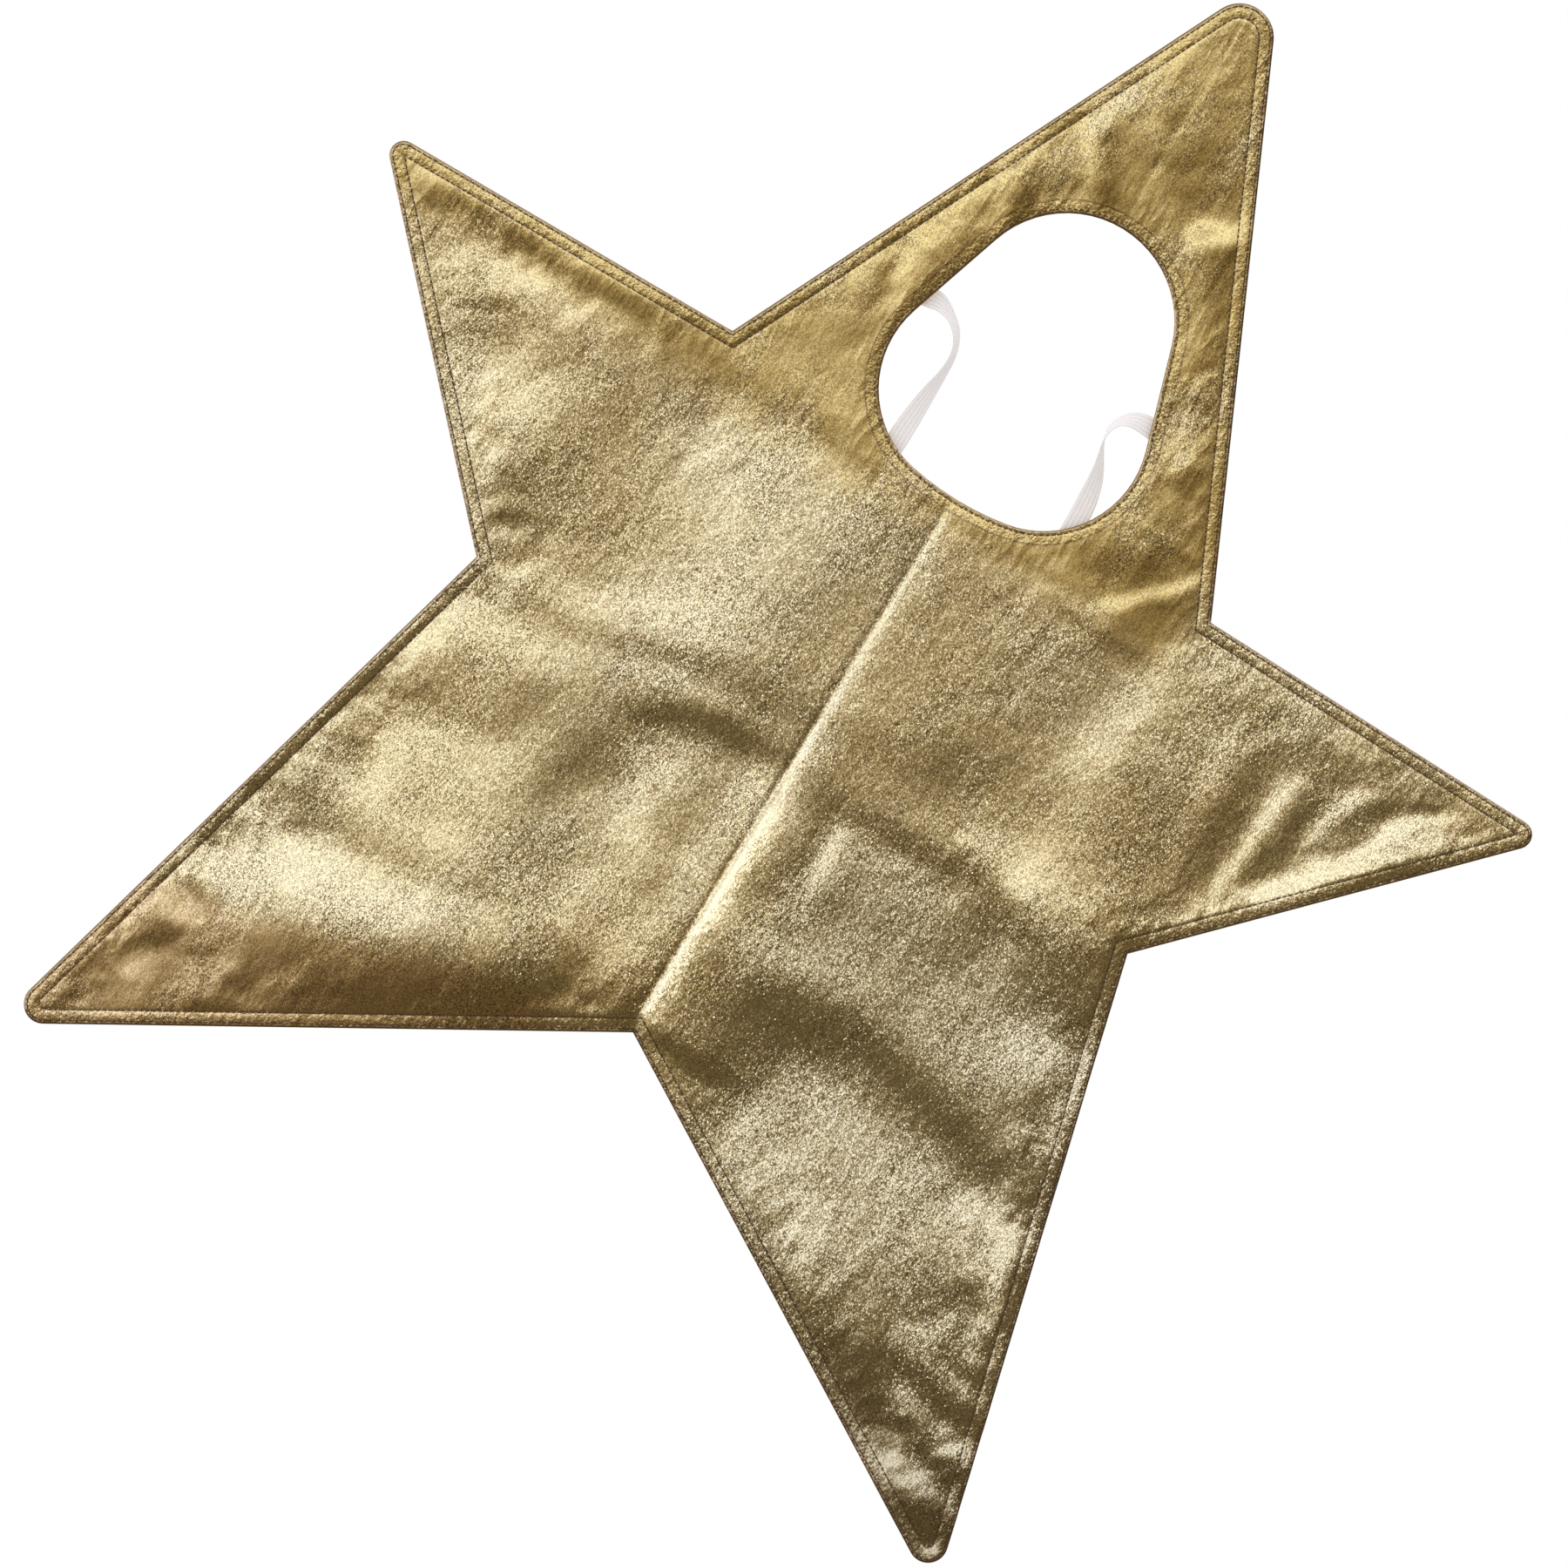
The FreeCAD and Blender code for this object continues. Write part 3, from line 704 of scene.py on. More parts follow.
def closed_sheet(name, outer, outer_height, inner, inner_height, material):
    """A closed body from two faces of cloth that share the same rims."""
    begin = len(outer.points)
    vertices = np.vstack([upright(outer.points, outer_height), upright(inner.points, inner_height)])
    faces = outer.triangles.tolist() + (inner.triangles + begin).tolist()
    for outer_rim, inner_rim in zip(outer.rims, inner.rims):
        for k in range(len(outer_rim)):
            faces.append((outer_rim[k - 1], outer_rim[k], begin + inner_rim[k], begin + inner_rim[k - 1]))
    flat = np.vstack([upright(outer.points, 0 * outer_height), upright(inner.points, 0 * inner_height)])
    hem = np.minimum(np.concatenate([outer.samples.depth, inner.samples.depth]),
                     np.concatenate([outer.samples.opening_depth, inner.samples.opening_depth]) + 0.4)
    return add_object(name, vertices, faces, material, flat, hem)


LOOK_AHEAD = 0.8


def at_lengths(line, begins, stops):
    """Points on a line at the given lengths along it. begins holds the length at each of its points."""
    return np.column_stack([np.interp(stops, begins, line[:, k]) for k in range(line.shape[1])])


def walk(line, pitch, closed=True):
    """Evenly spaced points along a line, with the direction of travel at each."""
    line = np.vstack([line, line[:1]]) if closed else line
    begins = running_length(line)
    count = max(1, round(begins[-1] / pitch))
    stops = (np.arange(count) + 0.5) * begins[-1] / count
    ways = at_lengths(line, begins, stops + LOOK_AHEAD) - at_lengths(line, begins, stops - LOOK_AHEAD)
    return at_lengths(line, begins, stops), unit(ways)


# A stitch's sides, and its sections: share of its length, share of its radius, lift off the cloth.
STITCH_SIDES = 6
STITCH_STATIONS = ((-0.5, 0.0, -0.32), (-0.42, 0.8, -0.1), (0.0, 1.05, 0.3), (0.42, 0.8, -0.1),
                   (0.5, 0.0, -0.32))


def ring_faces(starts, sides):
    """Faces of a tube between rings of points, given the number of each ring's first point."""
    faces = []
    for start, following in zip(starts, starts[1:]):
        for k in range(sides):
            after = (k + 1) % sides
            faces.append((start + k, start + after, following + after, following + k))
    return faces


def stitch_bodies(centres, ways, outs, length, radius):
    """One rounded thread stitch per centre, arched away from the cloth and sunk in at both ends."""
    sides = np.cross(ways, outs)
    vertices = []
    for share, fullness, lift in STITCH_STATIONS:
        middle = centres + ways * share * length + outs * lift
        if fullness == 0:
            vertices.append(middle)
            continue
        for k in range(STITCH_SIDES):
            angle = 2 * math.pi * k / STITCH_SIDES
            spoke = sides * math.cos(angle) + outs * math.sin(angle)
            vertices.append(middle + spoke * radius * fullness)
    count = len(vertices)
    stacked = np.stack(vertices, axis=1).reshape(-1, 3)
    faces = []
    ring_starts = [1 + ring * STITCH_SIDES for ring in range(3)]
    for stitch in range(len(centres)):
        base = stitch * count
        last = base + ring_starts[-1]
        faces += ring_faces([base + start for start in ring_starts], STITCH_SIDES)
        for k in range(STITCH_SIDES):
            after = (k + 1) % STITCH_SIDES
            faces.append((base, base + 1 + after, base + 1 + k))
            faces.append((last + k, last + after, base + count - 1))
    return stacked, faces


def join_parts(parts):
    """Several sets of points and faces as one."""
    vertices = []
    faces = []
    begin = 0
    for points, part_faces in parts:
        vertices.append(points)
        faces += [tuple(begin + i for i in face) for face in part_faces]
        begin += len(points)
    return np.vstack(vertices), faces


def row_stitches(row, star, opening, settled):
    """Stitches along one row, on the front and on the back of the panel."""
    places, ways = walk(row, STITCH_PITCH)
    parts = []
    for heights, out in ((front_height, -1.0), (back_height, 1.0)):
        tails = Samples(places - ways * STITCH_LENGTH / 2, star, opening)
        heads = Samples(places + ways * STITCH_LENGTH / 2, star, opening)
        first = upright(tails.points, heights(tails, settled))
        last = upright(heads.points, heights(heads, settled))
        run = unit(last - first)
        outs = np.tile((0.0, out, 0.0), (len(run), 1))
        outs = unit(outs - run * (outs * run).sum(axis=1)[:, None])
        parts.append(stitch_bodies((first + last) / 2, run, outs, STITCH_LENGTH, THREAD_RADIUS))
    return parts


def softened(row, reach):
    """A stitch row with its outer corners rounded, kept sharp at the star's notches."""
    places, _ = walk(row, 1.0)
    window = max(1, int(reach))
    padded = np.vstack([places[-window:], places, places[:window]])
    kernel = np.ones(2 * window + 1) / (2 * window + 1)
    smooth = np.column_stack([np.convolve(padded[:, k], kernel, mode="valid") for k in range(2)])
    vectors_in = places - np.roll(places, window, axis=0)
    vectors_out = np.roll(places, -window, axis=0) - places
    turn = vectors_in[:, 0] * vectors_out[:, 1] - vectors_in[:, 1] * vectors_out[:, 0]
    return np.where((turn > 0)[:, None], places, smooth)


# ---- arm loops ----

ELASTIC_WIDTH = 12.0
ELASTIC_HALF_DEPTH = 0.4
ELASTIC_RIBS = 5
RIB_DEPTH = 0.14
BAND_STEP = 1.5
FLAP_STEP = 0.8
FLAP_HALF_DEPTH = 0.26
FLAP_NARROWER = 0.3
TACK_BACK = 3.44
TACK_PITCH = 1.6
TACK_LENGTH = 1.35
TACK_RADIUS = 0.17


def sewn(side, place, twist):
    """The stations of an elastic's sewn end, from its cut edge towards the free band."""
    return [(side * x, 3.0, SEWN_END_Z[place], twist) for x in (108.0, 101, 94)]


# The free band between its two sewn ends: x, y, z and the twist in degrees, where 0 lies flat on the
# panel's back and 90 is edge-on to the viewer.
LEFT_BAND = [(-86, 3.2, -1.4, 0), (-78, 3.5, -0.4, 4), (-70, 4.0, 0.7, 12), (-63.9, 4.4, 0.7, 36),
             (-55.8, 5.0, -2.4, 60), (-49.4, 5.4, -7.6, 68), (-45.1, 5.6, -14.8, 74),
             (-43.3, 5.6, -22.7, 74), (-43.3, 5.4, -33.2, 66), (-44.6, 4.8, -47.6, 44),
             (-45.5, 4.2, -65.8, 20), (-45.9, 3.8, -80, 6), (-46.6, 3.4, -100, 0), (-47.8, 3.1, -125, 0),
             (-49.6, 3.0, -148, 0), (-52.6, 3.0, -165, 0), (-59, 3.0, -178.5, 0), (-70, 3.0, -187, 0),
             (-83, 3.0, -190, 0)]
RIGHT_BAND = [(86, 3.2, -1.0, 0), (78, 3.5, 0.8, -4), (70.6, 4.0, 2.4, -10), (60.3, 4.6, 1.3, -38),
              (53.6, 5.2, -4.0, -66), (51.2, 5.6, -10.8, -80), (52.1, 5.7, -17.8, -95),
              (54.9, 5.6, -25, -108), (57.9, 5.2, -33, -125), (60.1, 4.8, -42.6, -145),
              (61.5, 4.3, -53, -163), (62.3, 3.9, -65, -174), (62.2, 3.6, -82, -180),
              (60.6, 3.3, -104, -180), (58.4, 3.1, -128, -180), (56.8, 3.0, -150, -180),
              (58.2, 3.0, -167, -180), (64, 3.0, -179.5, -180), (74, 3.0, -187.5, -180),
              (85, 3.0, -190, -180)]
LEFT_LOOP = sewn(-1, "upper", 0) + LEFT_BAND + sewn(-1, "lower", 0)[::-1]
RIGHT_LOOP = sewn(1, "upper", 0) + RIGHT_BAND + sewn(1, "lower", -180)[::-1]


def smooth_line(points, step):
    """Evenly spaced points along a smooth curve through the given ones, in any number of columns."""
    fine = rounded(points, 10)
    begins = running_length(fine[:, :3])
    count = max(2, round(begins[-1] / step))
    return at_lengths(fine, begins, np.linspace(0, begins[-1], count + 1))


def ribbon(stations, width, half_depth):
    """A flat woven band along stations of x, y, z and twist, with ribs along its length and round
    edges. Also gives how far across the band each point lies, for its material."""
    path = stations[:, :3]
    ways = unit(np.gradient(path, axis=0))
    across_flat = unit(np.cross(ways, (0.0, 1.0, 0.0)))
    out_flat = np.cross(across_flat, ways)
    twist = np.radians(stations[:, 3])[:, None]
    across = across_flat * np.cos(twist) + out_flat * np.sin(twist)
    out = out_flat * np.cos(twist) - across_flat * np.sin(twist)
    columns = np.linspace(-1, 1, 6 * ELASTIC_RIBS + 1)
    section = []
    for side in (1, -1):
        for u in columns[::side]:
            rib = RIB_DEPTH * (math.cos(math.pi * u * ELASTIC_RIBS) - 1) / 2
            edge = math.sqrt(max(0.0, 1 - abs(u) ** 14))
            section.append((u, side * half_depth * (0.25 + 0.75 * edge) * (1 + rib)))
    rings = []
    for u, lift in section:
        rings.append(path + across * u * width / 2 + out * lift)
    vertices = np.stack(rings, axis=1).reshape(-1, 3)
    count = len(section)
    faces = ring_faces([station * count for station in range(len(path))], count)
    faces.append(tuple(range(count)))
    faces.append(tuple(range(len(vertices) - count, len(vertices))))
    lengths = running_length(path)
    flat = [(u * width / 2, lift, lengths[station]) for station in range(len(path)) for u, lift in section]
    return vertices, faces, np.array(flat)


def under_flap(side, z):
    """The elastic's folded end that lies under its own top layer, rounded over at the fold."""
    turned = [(96.2, 2.42), (100, 2.4), (104, 2.4), (107.2, 2.42), (108.4, 2.6), (108.7, 2.78)]
    line = smooth_line([(side * x, y, z, 0) for x, y in turned], FLAP_STEP)
    return ribbon(line, ELASTIC_WIDTH - FLAP_NARROWER, FLAP_HALF_DEPTH)


def box_tack(side, z):
    """White stitches in a box with a cross, through the elastic's sewn end."""
    low, high, half = 98.2, 106.4, 4.2
    corners = [(low, z - half), (high, z - half), (high, z + half), (low, z + half)]
    legs = list(zip(corners, corners[1:] + corners[:1]))
    legs += [(corners[0], corners[2]), (corners[1], corners[3])]
    parts = []
    for start, end in legs:
        places, ways = walk(np.array([start, end]), TACK_PITCH, closed=False)
        centres = np.column_stack([side * places[:, 0], np.full(len(places), TACK_BACK), places[:, 1]])
        runs = np.column_stack([side * ways[:, 0], np.zeros(len(ways)), ways[:, 1]])
        outs = np.tile((0.0, 1.0, 0.0), (len(places), 1))
        parts.append(stitch_bodies(centres, runs, outs, TACK_LENGTH, TACK_RADIUS))
    return join_parts(parts)


def thread_loop(centre, radius, thread):
    """A loose thread end that makes a small ring, at the left side notch."""
    rings = 20
    vertices = []
    for ring in range(rings):
        turn = 2 * math.pi * ring / rings
        spoke = np.array((math.cos(turn), 0.0, math.sin(turn)))
        lean = np.array((0.0, 0.35 * math.sin(turn), 0.0))
        for k in range(STITCH_SIDES):
            angle = 2 * math.pi * k / STITCH_SIDES
            lift = np.array((0.0, thread * math.sin(angle), 0.0))
            offset = spoke * (radius + thread * math.cos(angle)) + lift
            vertices.append(np.array(centre) + offset + lean)
    starts = [ring % rings * STITCH_SIDES for ring in range(rings + 1)]
    return np.array(vertices), ring_faces(starts, STITCH_SIDES)


# ---- materials ----

class Nodes:
    """A shader node tree, built by adding nodes and joining them by socket."""

    def __init__(self, tree):
        self.tree = tree

    def node(self, kind, inputs, **settings):
        made = self.tree.nodes.new("ShaderNode" + kind)
        for key, value in settings.items():
            setattr(made, key, value)
        self.join(made, inputs)
        return made

    def join(self, node, inputs):
        for key, value in inputs.items():
            if isinstance(value, bpy.types.NodeSocket):
                self.tree.links.new(value, node.inputs[key])
            else:
                node.inputs[key].default_value = value

    def math(self, operation, first, second=0.0, third=0.0):
        return self.node("Math", {0: first, 1: second, 2: third}, operation=operation).outputs[0]

    def times(self, first, second):
        return self.math("MULTIPLY", first, second)

    def line(self, value, factor, start):
        """The value times a factor, plus a start."""
        return self.math("MULTIPLY_ADD", value, factor, start)

    def gap(self, value, place):
        """How far the value is from a place, on either side."""
        return self.math("ABSOLUTE", self.math("SUBTRACT", value, place))

    def vector(self, operation, first, second):
        """A vector operation. A scale's second input is a number."""
        key = "Scale" if operation == "SCALE" else 1
        return self.node("VectorMath", {0: first, key: second}, operation=operation).outputs[0]

    def ramp(self, value, low, high, start=0.0, end=1.0):
        inputs = {"Value": value, "From Min": low, "From Max": high, "To Min": start, "To Max": end}
        return self.node("MapRange", inputs, interpolation_type="SMOOTHSTEP").outputs[0]


class Shader(Nodes):
    """A node material for cloth or thread."""

    def __init__(self, name):
        self.material = bpy.data.materials.new(name)
        self.material.use_nodes = True
        super().__init__(self.material.node_tree)
        self.surface = self.tree.nodes["Principled BSDF"]

    def attribute(self, name, output):
        return self.node("Attribute", {}, attribute_name=name).outputs[output]

    def flat(self, x=1, y=1, z=1):
        """The cloth's own flat position, in metres, times a scale for each axis."""
        return self.vector("MULTIPLY", self.attribute("flat", "Vector"), (x, y, z))

    def across_and_up(self):
        outputs = self.node("SeparateXYZ", {0: self.flat()}).outputs
        return outputs[0], outputs[2]

    def noise(self, scale, detail=2.0, rough=0.5):
        """Noise whose lumps are 1/scale metres across on each axis."""
        coords = {"Vector": self.flat(*scale), "Scale": 1.0, "Detail": detail, "Roughness": rough}
        return self.node("TexNoise", coords).outputs["Fac"]

    def mix(self, share, first, second):
        """The colour that is this share of the way from the first to the second."""
        return self.node("Mix", {0: share, 6: first, 7: second}, data_type="RGBA").outputs[2]

    def bump(self, height, strength, distance, normal=None):
        inputs = {"Height": height, "Strength": strength, "Distance": distance}
        if normal is not None:
            inputs["Normal"] = normal
        return self.node("Bump", inputs).outputs["Normal"]


def rgb(red, green, blue):
    return (red, green, blue, 1.0)


def lame_zones(s, x, z, wide):
    """How far each point belongs to the top arm, to the lower left edge, to the lower right and to
    the lower right tip, the zones where light and shade are painted into the foil's colour. The
    zones' borders wander with the wide noise."""
    top = s.times(s.ramp(s.line(wide, 0.04, z), -0.104, -0.067), s.ramp(x, 0.16, 0.13))
    slanted = s.line(x, -0.256, s.line(wide, 0.05, z))
    left_edge = s.times(s.ramp(slanted, -0.392, -0.408), s.ramp(x, -0.02, -0.06))
    below = s.ramp(s.line(wide, 0.1, z), -0.20, -0.26)
    lower_right = s.times(below, s.ramp(s.line(wide, 0.06, x), 0.03, 0.10))
    tip = s.times(s.ramp(s.line(wide, 0.04, z), -0.475, -0.545), s.ramp(x, 0.13, 0.20))
    return top, left_edge, lower_right, tip


def crease_painted_light(s, colour, x, z, grain, crumple):
    """Painted light along the pressed crease: painted shade on the cloth just left of it, a pale
    painted highlight line along it that fades where the waist's fold crosses, and a paler painted
    highlight strip to its right below the waist."""
    along = s.times(s.ramp(z, -0.092, -0.104), s.ramp(z, -0.434, -0.424))
    shade = s.ramp(s.line(grain, 0.004, s.gap(x, -0.0052)), 0.0062, 0.0024, 0.0, 0.26)
    shade = s.times(shade, s.ramp(z, -0.305, -0.275))
    # Painted shade just left of the crease.
    colour = s.mix(s.times(along, shade), colour, rgb(0.20, 0.14, 0.07))
    # Painted highlight line along the crease, stronger where the foil crumples and lower down.
    highlight_strength = s.times(s.ramp(crumple, 0.40, 0.60, 0.35, 0.9), s.ramp(z, -0.16, -0.30, 0.25, 0.75))
    highlight_line = s.ramp(s.line(grain, 0.002, s.gap(x, 0.0003)), 0.0046, 0.0018, 0.0, highlight_strength)
    crossing = s.ramp(s.gap(z, -0.272), 0.010, 0.024, 0.15, 1.0)
    colour = s.mix(s.times(s.times(along, crossing), highlight_line), colour, rgb(0.88, 0.66, 0.30))
    # Painted highlight strip right of the crease, below the waist.
    highlight_strip = s.times(s.ramp(x, -0.0015, 0.001), s.ramp(x, 0.019, 0.005))
    highlight_strip = s.times(highlight_strip, s.ramp(z, -0.277, -0.300, 0.0, 0.8))
    return s.mix(s.times(highlight_strip, along), colour, rgb(0.96, 0.68, 0.26))


def hem_colours(s, colour, hem):
    """Brown shadow under both rows of stitches and round the rim."""
    for row in (EDGE_ROW, INNER_ROW):
        colour = s.mix(s.ramp(s.gap(hem, row), 0.75, 0.25, 0.0, 0.62), colour, rgb(0.22, 0.12, 0.045))
    return s.mix(s.ramp(hem, 1.9, 0.6, 0.0, 0.85), colour, rgb(0.30, 0.165, 0.06))


def lame_wrinkles(s, crumple, coarse, creased, hem):
    """Fine bumps: crumpled foil, ridged crinkles where it is creased, and gathers on the hem."""
    normal = s.bump(crumple, s.line(coarse, 0.5, 0.2), 0.0011)
    ridges = s.line(s.gap(s.noise((110, 110, 34), 1.5, 0.4), 0.5), -3.0, 1.0)
    normal = s.bump(ridges, s.line(creased, 0.15, 0.02), 0.0022, normal)
    gathers = s.noise((360, 360, 360), 2.0, 0.6)
    return s.bump(gathers, s.ramp(hem, 9.2, 7.4, 0.0, 0.45), 0.0009, normal)


def lame_material():
    """Metallic gold knit: tiny foil facets that each lean their own way, with rubbed brown flecks.
    Light and shade are painted into its colour by zone: a darker ochre painted shade in the top arm,
    a browner painted shade along the lower left edge, a paler painted reflection at the lower right
    and a dusky painted shade in the lower right tip. Where it is ochre, brown or dusky its facets lie calmer."""
    s = Shader("gold_lame_knit")
    facets = s.node("TexVoronoi", {"Vector": s.flat(1650, 1650, 1150), "Scale": 1.0, "Randomness": 0.8})
    grain = s.noise((800, 800, 560), 2.0, 0.6)
    crumple = s.noise((130, 130, 80), 3.0, 0.6)
    patches = s.noise((19, 19, 14), 4.0, 0.62)
    wide = s.noise((7, 7, 6), 2.0, 0.5)
    silvery = s.ramp(patches, 0.5, 0.68)
    x, z = s.across_and_up()
    hem = s.attribute("hem_depth", "Fac")
    top, left_edge, lower_right, tip = lame_zones(s, x, z, wide)

    gold = s.mix(s.ramp(wide, 0.35, 0.65), rgb(0.80, 0.535, 0.18), rgb(0.85, 0.595, 0.222))
    # Painted reflection: a paler, greyer gold at the lower right.
    gold = s.mix(s.times(lower_right, 0.5), gold, rgb(0.70, 0.525, 0.235))
    # Painted shade: a darker ochre in the top arm for the dimmer light it mirrors, with less of it on the
    # silvery patches.
    gold = s.mix(s.times(top, s.line(silvery, -0.5, 0.85)), gold, rgb(0.68, 0.41, 0.09))
    # Painted shade: a browner gold along the lower left edge.
    gold = s.mix(s.times(left_edge, 0.8), gold, rgb(0.71, 0.415, 0.13))
    # Painted shade: the lower right tip is dusky brown.
    gold = s.mix(s.times(tip, 0.45), gold, rgb(0.26, 0.17, 0.07))
    between_facets = s.line(grain, 0.5, facets.outputs["Distance"])
    fleck = s.times(s.ramp(between_facets, 0.70, 1.0), s.ramp(patches, 0.38, 0.62, 0.5, 0.9))
    colour = s.mix(fleck, gold, rgb(0.20, 0.125, 0.045))
    # Painted shade and highlights along the crease.
    colour = crease_painted_light(s, colour, x, z, grain, crumple)
    colour = hem_colours(s, colour, hem)

    calm = s.math("MAXIMUM", s.math("MAXIMUM", top, left_edge), s.times(tip, 0.9))
    coarse = s.line(calm, -0.28, s.ramp(patches, 0.40, 0.66, 0.30, 0.80))
    coarse = s.line(lower_right, 0.35, coarse)
    creased = s.math("MAXIMUM", s.times(s.ramp(hem, 34.0, 12.0), 0.6), s.times(top, silvery))
    normal = lame_wrinkles(s, crumple, coarse, creased, hem)
    one_facet = s.node("SeparateColor", {0: facets.outputs["Color"]}).outputs["Green"]
    loose = s.ramp(one_facet, 0.62, 0.85, 0.11, 0.42)
    amount = s.line(coarse, s.math("ADD", loose, 0.05), s.line(calm, -0.05, 0.09))
    lean = s.vector("SUBTRACT", facets.outputs["Color"], (0.5, 0.5, 0.5))
    leaning = s.vector("ADD", normal, s.vector("SCALE", lean, amount))
    normal = s.vector("NORMALIZE", leaning, (0.0, 0.0, 0.0))
    rough = s.ramp(grain, 0.35, 0.65, 0.17, 0.30)
    s.join(s.surface, {"Base Color": colour, "Metallic": 1.0, "Roughness": rough, "Normal": normal})
    return s.material


def lining_material():
    """Plain woven polyester lining, tan, with a fine satin weave and faint slubs."""
    s = Shader("tan_satin_lining")
    weft = s.noise((260, 260, 2600), 2.0, 0.5)
    warp = s.noise((2600, 260, 240), 2.0, 0.5)
    wide = s.noise((9, 9, 9), 3.0, 0.5)
    colour = s.mix(s.ramp(wide, 0.3, 0.7), rgb(0.50, 0.355, 0.17), rgb(0.58, 0.43, 0.22))
    colour = s.mix(s.times(s.ramp(weft, 0.4, 0.7), 0.35), colour, rgb(0.66, 0.52, 0.30))
    hem = s.attribute("hem_depth", "Fac")
    # Painted shade: the lining darkens towards the hem.
    colour = s.mix(s.ramp(hem, 9.5, 0.5, 0.0, 0.3), colour, rgb(0.36, 0.25, 0.11))
    normal = s.bump(s.math("ADD", weft, warp), 0.35, 0.0003)
    s.join(s.surface, {"Base Color": colour, "Roughness": s.ramp(weft, 0.3, 0.7, 0.42, 0.58),
                       "Sheen Weight": 0.3, "Sheen Roughness": 0.4, "Normal": normal})
    return s.material


def wadding_material():
    """Thin polyester wadding: off-white, fibrous and matt."""
    s = Shader("polyester_wadding")
    fibres = s.noise((900, 900, 500), 4.0, 0.7)
    colour = s.mix(fibres, rgb(0.72, 0.71, 0.68), rgb(0.86, 0.85, 0.83))
    s.join(s.surface, {"Base Color": colour, "Roughness": 0.95, "Sheen Weight": 0.4,
                       "Normal": s.bump(fibres, 0.8, 0.0008)})
    return s.material


def thread_material(name, dark, light, sheen):
    """Twisted sewing thread, lighter where it is rubbed."""
    s = Shader(name)
    twist = s.noise((3400, 3400, 3400), 2.0, 0.6)
    wear = s.noise((60, 60, 60), 2.0, 0.6)
    colour = s.mix(s.line(wear, 0.6, s.times(twist, 0.4)), dark, light)
    s.join(s.surface, {"Base Color": colour, "Roughness": 0.6, "Specular IOR Level": 0.2,
                       "Sheen Weight": sheen, "Normal": s.bump(twist, 0.7, 0.0002)})
    return s.material


# Length of one crosswise thread of the elastic, in metres.
PICK_PITCH = 0.0009


def elastic_material():
    """Woven white elastic: ribs along its length, picks across it, painted shade of a soft grey-pink in the
    valleys.
    """
    s = Shader("white_woven_elastic")
    across, along = s.across_and_up()
    ribs = s.math("COSINE", s.times(across, 2 * math.pi * ELASTIC_RIBS / (ELASTIC_WIDTH * MM)))
    picks = s.math("SINE", s.times(along, 2 * math.pi / PICK_PITCH))
    fuzz = s.noise((2600, 2600, 1500), 3.0, 0.6)
    soil = s.noise((70, 70, 40), 3.0, 0.6)
    weave = s.line(picks, 0.35, s.line(ribs, 0.4, fuzz))
    # Painted shade: darker grey-pink where the weave is low, with the fuzz adding random tone.
    colour = s.mix(s.ramp(weave, 0.0, 1.1), rgb(0.80, 0.755, 0.75), rgb(0.94, 0.905, 0.90))
    colour = s.mix(s.times(s.ramp(soil, 0.5, 0.75), 0.2), colour, rgb(0.72, 0.67, 0.65))
    s.join(s.surface, {"Base Color": colour, "Roughness": 0.7, "Sheen Weight": 0.35,
                       "Normal": s.bump(weave, 0.6, 0.00025)})
    return s.material


# ---- studio ----

CAMERA_DISTANCE = 4.0
PICTURE_WIDTH = 0.864
SENSOR_WIDTH = 36.0
CAMERA_AIM = (-0.0002, -0.2706)
CAMERA_ROLL = (0.8538, 0.5206)
FLOOR_GAP = 0.004
FLOOR_REACH = 6.0

# What the foil mirrors, from the side away from the key light to the side towards it:
# (turn towards the light from -1 to 1, red, green, blue).
MIRRORED = [(-1.0, 0.24, 0.23, 0.21), (-0.55, 0.13, 0.125, 0.12), (-0.30, 0.11, 0.105, 0.105),
            (-0.13, 0.25, 0.245, 0.255), (0.0, 0.47, 0.48, 0.53), (0.08, 0.68, 0.75, 1.02),
            (0.20, 1.25, 1.58, 2.8), (0.36, 1.7, 2.25, 4.4), (0.55, 1.1, 1.4, 2.4), (1.0, 0.6, 0.65, 0.7)]
MIRROR_PEAK = 6.0


def set_up_world():
    """White behind the object, an even soft light on plain cloth, and one large soft light box,
    with a dark flag opposite, for the metallic foil to mirror."""
    world = bpy.data.worlds.new("studio")
    bpy.context.scene.world = world
    world.use_nodes = True
    world.node_tree.nodes.clear()
    w = Nodes(world.node_tree)
    way = Vector((KEY_WAY[0], 0.0, KEY_WAY[1])).normalized()
    looked_at = w.node("TexCoord", {}).outputs["Generated"]
    dot = w.node("VectorMath", {0: looked_at, 1: way}, operation="DOT_PRODUCT").outputs["Value"]
    share = w.line(dot, 0.5, 0.5)
    ramp = w.node("ValToRGB", {"Fac": share})
    ramp.color_ramp.interpolation = "EASE"
    stops = ramp.color_ramp.elements
    while len(stops) < len(MIRRORED):
        stops.new(0.5)
    for stop, (turn, red, green, blue) in zip(stops, MIRRORED):
        stop.position = 0.5 + 0.5 * turn
        stop.color = rgb(red / MIRROR_PEAK, green / MIRROR_PEAK, blue / MIRROR_PEAK)
    soft = w.node("MapRange", {"Value": share, "To Min": 0.78, "To Max": 1.25}).outputs[0]
    mirrored = w.node("Background", {"Color": ramp.outputs["Color"], "Strength": MIRROR_PEAK}).outputs[0]
    even = w.node("Background", {"Color": rgb(1.0, 0.985, 0.97), "Strength": soft}).outputs[0]
    white = w.node("Background", {"Color": rgb(1.0, 1.0, 1.0)}).outputs[0]
    rays = w.node("LightPath", {}).outputs
    by_gloss = w.node("MixShader", {"Fac": rays["Is Glossy Ray"], 1: even, 2: mirrored}).outputs[0]
    by_camera = w.node("MixShader", {"Fac": rays["Is Camera Ray"], 1: by_gloss, 2: white}).outputs[0]
    w.node("OutputWorld", {"Surface": by_camera})


